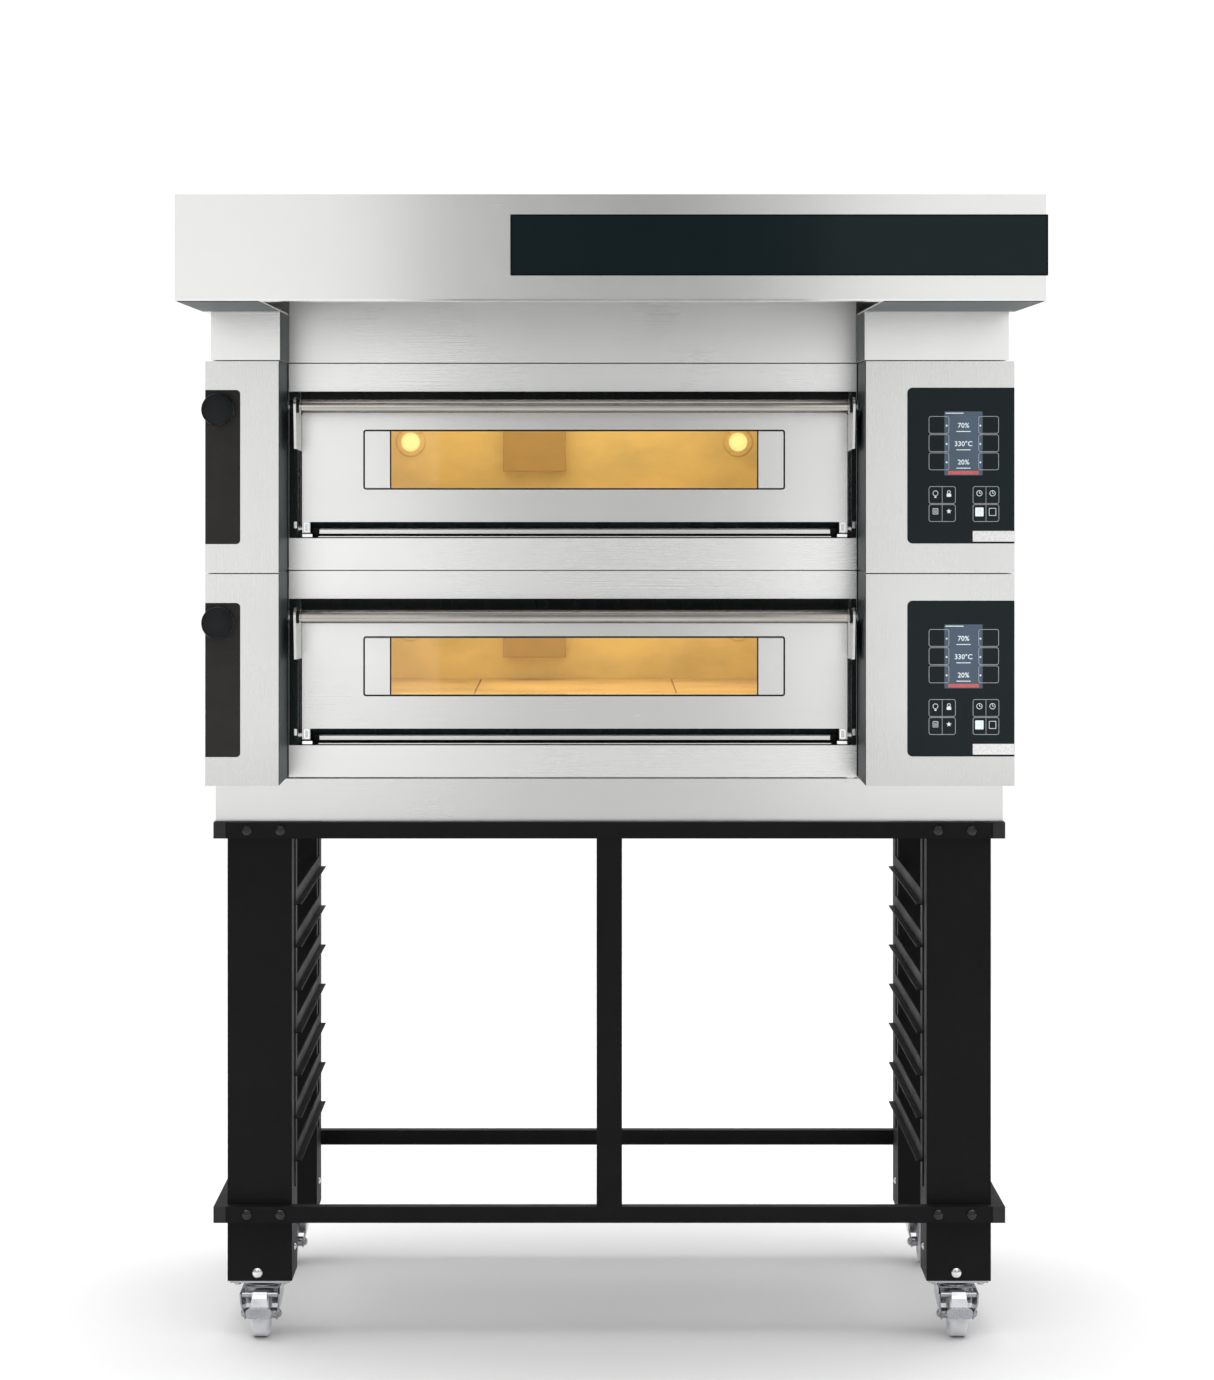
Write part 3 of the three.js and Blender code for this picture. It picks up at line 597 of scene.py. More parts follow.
def window_trim(deck):
    """Steel end plates either side of the glass, and one thin gasket line round all three."""
    glass_low, glass_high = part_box(f"{deck}_door_glass")
    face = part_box(f"{deck}_door_panel")[0].y
    body = f"{deck}_door"
    plate_width = 45 * MM
    gasket = 2.8 * MM
    divider = 1.2 * MM
    z = (glass_low.z - 0.3 * MM, glass_high.z + 0.3 * MM)
    edges = ((glass_low.x, -1), (glass_high.x, 1))
    plates = Shape()
    for edge, sign in edges:
        x = sorted((edge + sign * divider, edge + sign * plate_width))
        plates.card(x, (z[0] + 0.8 * MM, z[1] - 0.8 * MM), 2 * MM, face - 0.9 * MM, face + 0.2 * MM)
    plates.piece(f"{deck}_window_end_plates", "steel_h", body, "brushed_steel", bevel=0.3 * MM)
    reach = plate_width + gasket
    Shape().frame(
        (glass_low.x - reach, glass_high.x + reach), (z[0] - gasket, z[1] + gasket), 5 * MM, gasket,
        face - 0.7 * MM, face + 0.3 * MM,
    ).piece(f"{deck}_window_gasket", "gasket", body, "knob_black")
    dividers = Shape()
    for edge, sign in edges:
        x = sorted((edge + sign * divider, edge - sign * 1.0 * MM))
        dividers.block((x[0], face - 0.7 * MM, z[0]), (x[1], face + 1.4 * MM, z[1]))
    dividers.piece(f"{deck}_window_dividers", "gasket", body, "knob_black")


# The recess that the door closes, the chamber's mouth in its back wall, and the planes of both.
RECESS_X = (-0.541, 0.421)
RECESS_Z = (0.056, 0.311)        # heights above the deck's base
MOUTH_X = (-0.512, 0.390)
MOUTH_Z = (0.125, 0.285)
SEAL_Y = -0.080
FASCIA_Y = -0.140
MODULE_X = (-0.557, 0.430)       # the deck's middle body
DECK_BASE = {"lower": 0.978, "upper": 1.338}


def recess_shade_sheets(deck):
    """Painted shade round the door, in black enamel sheets: a frame behind it round the chamber's mouth, the
    recess's roof and floor, and the jambs.
    """
    base = DECK_BASE[deck]
    z = (base + RECESS_Z[0], base + RECESS_Z[1])
    clear = 0.4 * MM
    shade_sheet = 1.4 * MM
    outer = rounded((RECESS_X[0] + clear, RECESS_X[1] - clear), (z[0] + clear, z[1] - clear), 1 * MM)
    mouth_x = (MOUTH_X[0] - 3 * MM, MOUTH_X[1] + 3 * MM)
    mouth_z = (base + MOUTH_Z[0] - 3 * MM, base + MOUTH_Z[1] + 2 * MM)
    Shape().hollow_plate(outer, rounded(mouth_x, mouth_z, 2 * MM), SEAL_Y - 3.2 * MM, SEAL_Y - clear).piece(
        f"{deck}_mouth_painted_shade", "enamel", "oven", "black_gloss", bevel=0.5 * MM)
    roof_and_floor_shade = Shape()
    x = (RECESS_X[0] + 1 * MM, RECESS_X[1] - 1 * MM)
    y = (FASCIA_Y + 1.5 * MM, SEAL_Y - 4 * MM)
    roof_and_floor_shade.block((x[0], y[0], z[1] - shade_sheet), (x[1], y[1], z[1] - clear))
    roof_and_floor_shade.block((x[0], y[0], z[0] + clear), (x[1], y[1], z[0] + shade_sheet))
    roof_and_floor_shade.piece(f"{deck}_recess_shade_sheets", "enamel", "oven", "black_gloss", bevel=0.3 * MM)
    jamb_shade = Shape()
    for x in ((RECESS_X[0] - 15.5 * MM, RECESS_X[0]), (RECESS_X[1], RECESS_X[1] + 8.5 * MM)):
        cover_z = (z[0] + 0.2 * MM, z[1] - 0.2 * MM)
        jamb_shade.card(x, cover_z, 0.3 * MM, FASCIA_Y - 0.9 * MM, FASCIA_Y - 0.2 * MM, 2)
    jamb_shade.piece(f"{deck}_jamb_painted_shade", "enamel", "oven", "black_gloss")


HINGE_PIN = 12 * MM              # how far each hinge pin stands out of the door's side


def door_foot(deck):
    """Sloped lip under the door, the steel sill behind it and a bright bead on the strip's edge."""
    low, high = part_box(f"{deck}_door_panel")
    base = DECK_BASE[deck]
    door_bottom = base + 83.7 * MM
    lip_bottom = door_bottom - 10.5 * MM
    lug = 16 * MM
    x = (low.x + HINGE_PIN + lug, high.x - HINGE_PIN - lug)
    outline = [
        (low.y + 0.5 * MM, door_bottom), (low.y + 6 * MM, lip_bottom),
        (low.y + 9 * MM, lip_bottom), (low.y + 12 * MM, door_bottom),
    ]
    Shape().loft([[(side, y, z) for y, z in outline] for side in x]).piece(
        f"{deck}_door_seal_lip", "enamel", f"{deck}_door", "black_gloss", bevel=0.4 * MM)
    sill_x = (RECESS_X[0] + 35 * MM, RECESS_X[1] - 35 * MM)
    floor_z = base + RECESS_Z[0] + 1.6 * MM
    sill_front = FASCIA_Y + 28 * MM
    sill_back = FASCIA_Y + 42 * MM
    sill_top = floor_z + 15.5 * MM
    profile = [
        (sill_front, floor_z + 5.5 * MM), (sill_front, floor_z + 13 * MM),
        (sill_front + 2.5 * MM, sill_top),
        (sill_back, sill_top), (sill_back, floor_z + 0.3 * MM), (sill_front + 6 * MM, floor_z + 0.3 * MM),
    ]
    sill = Shape().loft([[(side, y, z) for y, z in profile] for side in sill_x])
    sill.block((sill_x[0], FASCIA_Y + 3 * MM, floor_z), (sill_x[1], FASCIA_Y + 8 * MM, floor_z + 2 * MM))
    sill.piece(f"{deck}_sill", "steel_h", "oven", "brushed_steel", bevel=0.4 * MM)


def hinge_brackets(deck):
    """Bright knuckle on each hinge lug, its keeper on the jamb, and a stop block on the sill."""
    low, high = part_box(f"{deck}_door_panel")
    base = DECK_BASE[deck]
    knuckle_z = (base + 66 * MM, base + 83 * MM)
    keeper_z = (base + 73 * MM, base + 85 * MM)
    stop_z = (base + 57.6 * MM, base + 63.4 * MM)
    knuckles = Shape()
    fixed = Shape()
    for edge, inward in ((low.x + HINGE_PIN, MM), (high.x - HINGE_PIN, -MM)):
        knuckle_x = sorted((edge + 3 * inward, edge + 13 * inward))
        keeper_x = sorted((edge - 7.5 * inward, edge - 13 * inward))
        stop_x = sorted((edge + 1 * inward, edge + 19 * inward))
        knuckles.frame(knuckle_x, knuckle_z, 2.5 * MM, 2.4 * MM, low.y - 0.8 * MM, low.y + 0.7 * MM)
        fixed.card(keeper_x, keeper_z, 1.5 * MM, FASCIA_Y - 3.2 * MM, FASCIA_Y - 1.1 * MM)
        fixed.card(stop_x, stop_z, 1.2 * MM, FASCIA_Y + 2 * MM, FASCIA_Y + 8 * MM)
    knuckles.piece(f"{deck}_hinge_knuckles", "chrome", f"{deck}_door", "handle_steel", bevel=0.3 * MM)
    fixed.piece(f"{deck}_hinge_keepers", "chrome", "oven", "handle_steel", bevel=0.4 * MM)


# ------------------------------------------------------------------ chamber


CHAMBER_LAMPS_X = (-0.383, 0.256)
FLUE_BOX_X = (-0.201, -0.080)


def chamber(deck):
    """Two lamps on the back wall, and the flue box that hangs from the roof between them."""
    low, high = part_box(f"{deck}_chamber_liner")
    wall = high.y - 2 * MM
    lamp_z = low.z + 125 * MM
    flange_radius = 29 * MM
    flange_height = 4.5 * MM
    screw_circle = 24.5 * MM
    flange = [
        (flange_radius, 0.2 * MM), (flange_radius, 3 * MM),
        (flange_radius - 2 * MM, flange_height), (20 * MM, flange_height),
    ]
    flanges = Shape()
    bulbs = Shape()
    for x in CHAMBER_LAMPS_X:
        flanges.turned(flange, (x, wall, lamp_z), TO_FRONT, 40)
        for screw_x, screw_z in around((x, lamp_z), (screw_circle,), 4, math.radians(45)):
            spot = (screw_x, wall - flange_height + 0.1 * MM, screw_z)
            flanges.turned(dome_profile(2.6 * MM, 1.6 * MM), spot, TO_FRONT, 12)
        bulb_base = (x, wall - flange_height - 0.2 * MM, lamp_z)
        bulbs.turned(dome_profile(18 * MM, 16 * MM, 8), bulb_base, TO_FRONT)
    flanges.piece(f"{deck}_lamp_flanges", "chamber", "oven", "chamber_steel", smooth=True)
    bulbs.piece(f"{deck}_lamp_glasses", "lamp", "oven", "door_glass", smooth=True)
    box_low = (FLUE_BOX_X[0], wall - 70 * MM, low.z + 68 * MM)
    box_high = (FLUE_BOX_X[1], wall - 0.5 * MM, high.z - 2.3 * MM)
    # the flue box's darker glowing steel is painted shade and painted light
    Shape().block(box_low, box_high).piece(
        f"{deck}_flue_box", "flue", "oven", "chamber_steel", bevel=1.5 * MM)


# ------------------------------------------------------------------ controls


def text_mesh(shape, words, centre, height, y_front, y_back):
    """Adds flat figures to a shape, facing -Y, centred on a point."""
    curve = bpy.data.curves.new("figures", "FONT")
    curve.body = words
    curve.size = height
    curve.align_x = "CENTER"
    curve.align_y = "CENTER"
    curve.extrude = (y_back - y_front) / 2
    curve.offset = 0.012 * height
    curve.resolution_u = 3
    made = bpy.data.objects.new("figures", curve)
    bpy.context.scene.collection.objects.link(made)
    bpy.context.view_layer.update()
    flat = bpy.data.meshes.new_from_object(made.evaluated_get(bpy.context.evaluated_depsgraph_get()))
    place = Matrix.Translation((centre[0], (y_front + y_back) / 2, centre[1]))
    flat.transform(place @ Matrix.Rotation(math.pi / 2, 4, "X"))
    shape.mesh.from_mesh(flat)
    bpy.data.objects.remove(made)
    bpy.data.curves.remove(curve)
    bpy.data.meshes.remove(flat)


INK_FRONT = -0.35 * MM      # a printed mark, measured from the surface that it is printed on
INK_BACK = 0.1 * MM


def key_frame(shape, x, z, face, radius=4 * MM, line=0.9 * MM):
    """A printed rounded rectangle."""
    outer, inner = ring_of(x, z, radius, line)
    shape.hollow_plate(outer, inner, face + INK_FRONT, face + INK_BACK)


def disc_ring(shape, centre, radius, line, face, segments=24):
    """A printed circle."""
    outer = around(centre, (radius,), segments)
    inner = around(centre, (radius - line,), segments)
    shape.hollow_plate(outer, inner, face + INK_FRONT, face + INK_BACK)


def polygon_mark(shape, centre, radii, face):
    """A printed star or pentagon: its points alternate between the radii given."""
    outline = around(centre, radii, 5 * len(radii), math.pi / 2)
    shape.plate(outline, face + INK_FRONT, face + INK_BACK)


def control_glass(deck):
    """Display with three figures, six touch fields beside it and four pairs of keys under it."""
    low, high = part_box(f"{deck}_control_panel")
    face = low.y
    width = high.x - low.x
    raised = face - 0.7 * MM
    front = face - 0.5 * MM
    back = face + 0.1 * MM
    screen_x = (low.x + 62.5 * MM, low.x + 127 * MM)
    screen_z = (low.z + 115 * MM, low.z + 223 * MM)
    middle_x = sum(screen_x) / 2
    Shape().plate(rounded(screen_x, screen_z, 1 * MM), front, back).piece(
        f"{deck}_display", "screen", "oven", "control_glass")
    figures = Shape()
    bars = Shape()
    for i, words in enumerate(("70%", "330°C", "20%")):
        z = screen_z[1] - (24 + 31 * i) * MM
        text_mesh(figures, words, (middle_x, z), 11.8 * MM, face - 0.75 * MM, face - 0.55 * MM)
        rule_z = z - 10.5 * MM
        bars.bar(span(middle_x, 12 * MM), (raised, front), (rule_z, rule_z + 1.3 * MM))
        for side in (-1, 1):
            polygon_mark(bars, (middle_x + side * 28.5 * MM, z), (1.8 * MM,), front)
    status_x = (screen_x[0] + 2 * MM, screen_x[1] - 32 * MM)
    bars.bar(status_x, (raised, front), (screen_z[1] - 3.6 * MM, screen_z[1] - 2.2 * MM))
    figures.piece(f"{deck}_display_figures", "ink", "oven", "control_glass")
    bars.piece(f"{deck}_display_marks", "ink", "oven", "control_glass")
    alert_x = (screen_x[0] + 6 * MM, screen_x[1] - 6 * MM)
    alert_z = (screen_z[0] + 1.5 * MM, screen_z[0] + 7.5 * MM)
    Shape().card(alert_x, alert_z, 1 * MM, raised, front).piece(
        f"{deck}_display_bar", "alert", "oven", "control_glass")

    frames = Shape()
    field_height = 29.5 * MM
    fields_x = (
        (screen_x[0] - 26.5 * MM, screen_x[0] + 8 * MM),
        (screen_x[1] - 7 * MM, screen_x[1] + 27.5 * MM),
    )
    for x in fields_x:
        for row in range(3):
            top = screen_z[1] - (8 + 30.8 * row) * MM
            key_frame(frames, x, (top - field_height, top), front)
    block_z = (low.z + 67 * MM, low.z + 36.5 * MM)
    blocks_x = ((low.x + 36 * MM, low.x + 81.5 * MM), (low.x + 110.5 * MM, low.x + 155 * MM))
    marks = Shape()
    for x in blocks_x:
        middle = sum(x) / 2
        for z in block_z:
            key_frame(frames, x, (z, z + field_height), face)
            frames.block((middle - 0.4 * MM, face - 0.3 * MM, z + 1 * MM),
                         (middle + 0.4 * MM, back, z + field_height - 1 * MM))
    key_marks(marks, blocks_x, block_z, field_height, face)
    frames.piece(f"{deck}_key_outlines", "outline", "oven", "control_glass")
    marks.piece(f"{deck}_key_marks", "ink", "oven", "control_glass")
    strip_z = (low.z + 3 * MM, low.z + 21 * MM)
    strip_x = (low.x + 0.61 * width, high.x - 0.3 * MM)
    # painted light: the silver strip glows
    Shape().card(strip_x, strip_z, 0.8 * MM, front, back).piece(
        f"{deck}_silver_strip_painted_glow", "silver", "oven", "brushed_steel")


def key_marks(marks, blocks_x, block_z, height, face):
    """Generic marks: lamp, lock, two clocks, page, star, a filled key and an empty one."""
    y = (face + INK_FRONT, face + INK_BACK)
    centres = [
        (x[0] + (x[1] - x[0]) * share, z + height * 0.6)
        for z in block_z for x in blocks_x for share in (0.25, 0.75)
    ]
    lamp, lock, clock_a, clock_b, page, star, full, empty = centres
    disc_ring(marks, lamp, 4.6 * MM, 0.8 * MM, face)
    marks.bar(span(lamp[0], 1.8 * MM), y, (lamp[1] - 7.5 * MM, lamp[1] - 5.4 * MM))
    disc_ring(marks, (lock[0], lock[1] + 2 * MM), 3 * MM, 1.0 * MM, face)
    marks.card(span(lock[0], 3.8 * MM), (lock[1] - 6 * MM, lock[1] - 0.8 * MM), 1 * MM, *y)
    for clock in (clock_a, clock_b):
        disc_ring(marks, clock, 5 * MM, 0.9 * MM, face)
        marks.bar(span(clock[0], 0.4 * MM), y, (clock[1], clock[1] + 3.2 * MM))
        marks.bar((clock[0], clock[0] + 2.6 * MM), y, span(clock[1], 0.4 * MM))
    key_frame(marks, span(page[0], 4.5 * MM), span(page[1], 5 * MM), face, 1 * MM, 0.8 * MM)
    for i in range(3):
        z = page[1] + (2 - 2 * i) * MM
        marks.bar(span(page[0], 2.6 * MM), y, span(z, 0.3 * MM))
    polygon_mark(marks, star, (4.6 * MM, 2.0 * MM), face)
    marks.card(span(full[0], 7 * MM), span(full[1], 8.5 * MM, 6.5 * MM), 1 * MM, *y)
    key_frame(marks, span(empty[0], 6 * MM), span(empty[1], 7.5 * MM, 5.5 * MM), face, 1 * MM, 0.8 * MM)


def damper_knob(deck):
    """Turned knob with a slightly domed front disc and a rolled rim, on its rod."""
    low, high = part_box(f"{deck}_damper_knob")
    centre = ((low.x + high.x) / 2, 0, (low.z + high.z) / 2)
    radius = (high.x - low.x) / 2
    rod = 6 * MM
    neck = radius - 5 * MM
    front = low.y
    back = front + 24 * MM
    profile = [
        (2 * MM, front), (radius * 0.5, front + 0.4 * MM), (radius - 4 * MM, front + 1.2 * MM),
        (radius - 2.2 * MM, front + 1.7 * MM), (radius - 1.6 * MM, front + 1.3 * MM),
        (radius - 0.6 * MM, front + 1.8 * MM), (radius, front + 3 * MM), (radius, front + 14 * MM),
        (radius - 0.6 * MM, front + 15 * MM), (neck, front + 17 * MM), (neck, back - 0.6 * MM),
        (neck - 1 * MM, back - 0.1 * MM), (rod, back - 0.1 * MM),
        (rod, high.y - 1 * MM), (rod - 1 * MM, high.y),
    ]
    knob = Shape().turned(profile, centre, (0, 1, 0), 72).piece(
        f"{deck}_pull_knob", "knob", f"{deck}_damper", "knob_black", smooth=True)
    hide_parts(f"{deck}_damper_knob")


# ------------------------------------------------------------------ hood, covers and stand fittings


def hood_plate():
    """Blank glossy plate with a raised, bevelled rim, folded round the hood's right end."""
    low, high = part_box("hood_plate")
    wrap = 40 * MM
    thickness = 2.7 * MM
    path = [
        (low.x, low.y), (high.x, low.y), (high.x, low.y + wrap),
        (high.x - thickness, low.y + wrap), (high.x - thickness, low.y + thickness),
        (low.x, low.y + thickness),
    ]
    plate = Shape().loft([[(x, y, z) for x, y in path] for z in (low.z, high.z)]).piece(
        "hood_blank_plate", "gloss", "oven", "black_gloss", bevel=0.9 * MM)
    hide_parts("hood_plate")
    rim_x = (low.x + 1 * MM, high.x - 1.2 * MM)
    rim_z = (low.z + 1 * MM, high.z - 1 * MM)
    Shape().frame(rim_x, rim_z, 2 * MM, 1.6 * MM, low.y, low.y + 0.6 * MM).piece(
        "hood_plate_rim", "gloss", "oven", "black_gloss", bevel=0.25 * MM)


def hood_trim():
    """Bright hem along the hood's lower front edge, and dark sheets of painted shade under its two ends."""
    low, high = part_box("hood_canopy")
    hem_x = (low.x + 0.5 * MM, high.x - 0.5 * MM)
    hem_y = (low.y - 0.6 * MM, low.y - 0.1 * MM)
    Shape().bar(hem_x, hem_y, (low.z + 0.2 * MM, low.z + 3 * MM)).piece(
        "hood_hem", "chrome", "oven", "brushed_steel")
    pillar_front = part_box("hood_plenum")[0].y
    # painted shade under the hood's two ends
    underside_shade = Shape()
    y = (low.y + 3 * MM, pillar_front - 0.5 * MM)
    for x in ((low.x + 3 * MM, MODULE_X[0] - 3 * MM), (MODULE_X[1] + 3 * MM, high.x - 3 * MM)):
        underside_shade.block((x[0], y[0], low.z - 1.1 * MM), (x[1], y[1], low.z - 0.2 * MM))
    underside_shade.piece("hood_end_painted_shade", "shaded", "oven", "brushed_steel", bevel=0.2 * MM)


MODULE_X = (-0.557, 0.430)


def middle_panel():
    """The hood's middle panel: a sheet over the plenum's front, between the pillars."""
    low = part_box("hood_plenum")[0]
    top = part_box("hood_canopy")[0].z
    sheet = Shape()
    sheet.block((MODULE_X[0] + 1 * MM, FASCIA_Y - 1.2 * MM, low.z + 0.6 * MM),
                (MODULE_X[1] - 1 * MM, FASCIA_Y - 0.2 * MM, top + 60 * MM))
    # painted light: the panel takes the brighter copy of the steel
    sheet.piece("middle_panel_sheet", "steel_lit", "oven", "brushed_steel", bevel=0.4 * MM)


def side_shade_sheets():
    """Dark sheets of painted shade on the inner sides of the casings and pillars, and a gasket down each
    joint.
    """
    side_shade = Shape()
    gaskets = Shape()
    for node in ("lower_left_casing", "upper_left_casing", "lower_right_casing", "upper_right_casing"):
        low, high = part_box(node)
        left = "left" in node
        face = high.x if left else low.x
        inward = 1 if left else -1
        x = sorted((face + inward * 0.2 * MM, face + inward * 1.0 * MM))
        z = (low.z + 0.8 * MM, high.z - 0.8 * MM)
        side_shade.block((x[0], low.y + 1.5 * MM, z[0]), (x[1], FASCIA_Y - 3.5 * MM, z[1]))
        x = sorted((face + inward * 0.3 * MM, face + inward * 2.7 * MM))
        gaskets.block((x[0], FASCIA_Y - 1.6 * MM, z[0]), (x[1], FASCIA_Y + 30 * MM, z[1]))
    low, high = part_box("hood_plenum")
    pillar_z = (low.z + 0.8 * MM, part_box("hood_canopy")[0].z - 1.4 * MM)
    for face, inward in ((MODULE_X[0] - 1 * MM, 1), (MODULE_X[1] + 1 * MM, -1)):
        x = sorted((face + inward * 0.2 * MM, face + inward * 0.9 * MM))
        side_shade.block((x[0], low.y + 1.5 * MM, pillar_z[0]), (x[1], FASCIA_Y - 1 * MM, pillar_z[1]))
    # painted shade down the inner sides of the casings and pillars
    side_shade.piece("side_shade_sheets", "shaded", "oven", "brushed_steel")
    gaskets.piece("module_gaskets", "gasket", "oven", "knob_black")


def screws(shape, spots, axis, radius, height):
    for spot in spots:
        shape.turned(dome_profile(radius, height), spot, axis, 20)


def rear_fittings(deck):
    """Cover screws along the top and bottom edges, and a black ring round the mains gland."""
    low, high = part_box(f"{deck}_rear_cover")
    face = high.y - 0.8 * MM
    margin = 14 * MM
    columns = 6
    heads = Shape()
    spots = []
    for i in range(columns):
        x = low.x + margin + (high.x - low.x - 2 * margin) * i / (columns - 1)
        spots.extend([(x, face - 0.4 * MM, low.z + margin), (x, face - 0.4 * MM, high.z - margin)])
    screws(heads, spots, (0, 1, 0), 4 * MM, 1.2 * MM)
    heads.piece(f"{deck}_rear_screws", "zinc", "oven", "zinc", smooth=True)
    gland = (0.560, face + 0.1 * MM, low.z + 69 * MM)
    nut = Shape()
    nut_radius = 15 * MM
    bore = 9.6 * MM
    ring = [(bore, 0.0), (nut_radius, 0.0), (nut_radius, 0.55 * MM), (bore, 0.55 * MM)]
    nut.tube(ring, gland, (0, 1, 0), 24)
    nut.piece(f"{deck}_gland_ring", "gasket", "oven", "knob_black")


def casing_screws(deck):
    """Six screws on each casing's side: near the front, in the middle and near the back, at its top and its
    bottom.
    """
    heads = Shape()
    for side, sign in (("left", -1), ("right", 1)):
        low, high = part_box(f"{deck}_{side}_casing")
        face = low.x if sign < 0 else high.x
        spots = [
            (face - sign * 0.2 * MM, y, z)
            for y in (low.y + 40 * MM, (low.y + high.y) / 2, high.y - 20 * MM)
            for z in (low.z + 18 * MM, high.z - 18 * MM)
        ]
        screws(heads, spots, (sign, 0, 0), 4.5 * MM, 1.8 * MM)
    heads.piece(f"{deck}_casing_screws", "chrome", "oven", "brushed_steel", smooth=True)


FRAME_BOLTS_X = (0.570, 0.628)


def stand_fittings():
    """Tube end caps, domed bolts through the frames, and the castor bolts at the legs' feet."""
    caps = Shape()
    bolts = Shape()
    bright = Shape()
    bolt_radius = 9.5 * MM
    for ring in ("stand_top_frame", "stand_bottom_frame"):
        low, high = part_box(ring)
        middle = (low.z + high.z) / 2
        for side in (-1, 1):
            x = sorted((side * (high.x - 21.4 * MM), side * (high.x - 0.6 * MM)))
            for y, sign in ((low.y, -1), (high.y, 1)):
                z = (low.z + 0.6 * MM, high.z - 0.6 * MM)
                ends = sorted((y - sign * 1 * MM, y + sign * 1.6 * MM))
                caps.plate(rounded(x, z, 1.5 * MM, 3), *ends)
                spots = [(side * bolt_x, y - sign * 0.2 * MM, middle) for bolt_x in FRAME_BOLTS_X]
                screws(bolts, spots, (0, sign, 0), bolt_radius, 4.5 * MM)
    for row, sign in (("front", -1), ("rear", 1)):
        for side, out in (("left", -1), ("right", 1)):
            low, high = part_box(f"leg_{row}_{side}")
            face = low.y if sign < 0 else high.y
            middle = (low.x + high.x) / 2
            face_spot = (middle - 4 * MM, face - sign * 0.2 * MM, low.z + 14 * MM)
            screws(bright, [face_spot], (0, sign, 0), 9.5 * MM, 4.5 * MM)
            outer = low.x if out < 0 else high.x
            inner = high.x if out < 0 else low.x
            leg_y = (low.y + high.y) / 2
            outer_spot = (outer - out * 0.2 * MM, leg_y, low.z + 24 * MM)
            inner_spot = (inner + out * 0.2 * MM, leg_y, low.z + 48 * MM)
            screws(bright, [outer_spot], (out, 0, 0), 6 * MM, 3.5 * MM)
            screws(bright, [inner_spot], (-out, 0, 0), 6 * MM, 3.5 * MM)
    caps.piece("stand_end_caps", "cap", "oven", "stand_black", bevel=0.5 * MM)
    bolts.piece("stand_frame_bolts", "bolt", "oven", "stand_black", smooth=True)
    bright.piece("leg_foot_bolts", "chrome", "oven", "zinc", smooth=True)


CASTOR_TRAIL = 26 * MM


def castor_wheel(place):
    """Round-shouldered tread on a dished hub."""
    node = f"castor_wheel_{place}"
    low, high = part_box(node)
    centre = ((low.x + high.x) / 2, (low.y + high.y) / 2, (low.z + high.z) / 2)
    radius = (high.z - low.z) / 2
    half = (high.x - low.x) / 2
    profile = [(5.3 * MM, -half), (15 * MM, -half), (17 * MM, -half + 3 * MM), (28 * MM, -half + 4 * MM)]
    profile.append((31 * MM, -half + 1 * MM))
    shoulder = 6 * MM
    for i in range(6):
        angle = math.radians(90 * i / 5)
        inward = shoulder * (1 - math.sin(angle))
        profile.append((radius - inward, -half + shoulder * (1 - math.cos(angle))))
    profile.extend([(r, -x) for r, x in reversed(profile)])
    wheel = Shape().tube(profile, centre, (1, 0, 0), 72).piece(
        f"wheel_disc_{place}", "tread", f"wheel_{place}", "castor_tread", smooth=True)
    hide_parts(node)


def castor_fork(place):
    """Pressed fork: a swivel dome, a crown and two cheeks that draw in towards the axle."""
    node = f"castor_fork_{place}"
    low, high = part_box(node)
    wheel_low, wheel_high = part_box(f"castor_wheel_{place}")
    axle = (wheel_low + wheel_high) / 2
    swivel_y = axle.y + CASTOR_TRAIL
    middle = axle.x
    sheet = 3 * MM
    hub_half = (wheel_high.x - wheel_low.x) / 2
    axle_half = 27 * MM
    crown_z = high.z - 6 * MM
    front_reach = 58 * MM if "front" in place else 40 * MM
    stations = (
        # height, half width inside the cheeks, front and back edges measured from the swivel
        (crown_z, 30 * MM, -34 * MM, 28 * MM),
        (crown_z - 6 * MM, 32 * MM, -front_reach, 30 * MM),
        (crown_z - 22 * MM, 31.5 * MM, -front_reach + 3 * MM, 24 * MM),
        (axle.z + 9 * MM, 29 * MM, -46 * MM, 2 * MM),
        (axle.z, axle_half, -40 * MM, -10 * MM),
        (axle.z - 10 * MM, 26 * MM, -33 * MM, -18 * MM),
    )
    fork = Shape()
    for side in (-1, 1):
        loops = []
        for z, half, front, back in stations:
            inner = middle + side * half
            outer = middle + side * (half + sheet)
            loops.append([
                (inner, swivel_y + front, z), (outer, swivel_y + front, z),
                (outer, swivel_y + back, z), (inner, swivel_y + back, z),
            ])
        fork.loft(loops)
    across = span(middle, 31 * MM)
    fork.bar(across, span(swivel_y, 34 * MM, 28 * MM), span(crown_z, 1 * MM, 2 * MM))
    fork.bar(across, (swivel_y + 20 * MM, swivel_y + 23 * MM), (crown_z - 40 * MM, crown_z))
    crown = [
        (26 * MM, 0.2 * MM), (30 * MM, 0.8 * MM), (31.5 * MM, 2 * MM),
        (31.5 * MM, 5 * MM), (26 * MM, 6 * MM),
    ]
    fork.turned(crown, (middle, swivel_y, high.z), (0, 0, -1), 48)
    axle_end = axle_half + sheet
    for side in (-1, 1):
        spacer = [(9 * MM, side * (hub_half + 0.3 * MM)), (9 * MM, side * 27.5 * MM)]
        fork.turned(spacer, axle, (1, 0, 0), 24)
    fork.turned([(4.8 * MM, -axle_end), (4.8 * MM, axle_end)], axle, (1, 0, 0), 24)
    for side in (-1, 1):
        cap_at = (middle + side * (axle_end + 0.1 * MM), axle.y, axle.z)
        fork.turned(dome_profile(8 * MM, 6 * MM), cap_at, (side, 0, 0), 24)
    made = fork.piece(f"pressed_fork_{place}", "zinc", f"castor_{place}", "zinc", bevel=0.5 * MM)
    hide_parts(node)


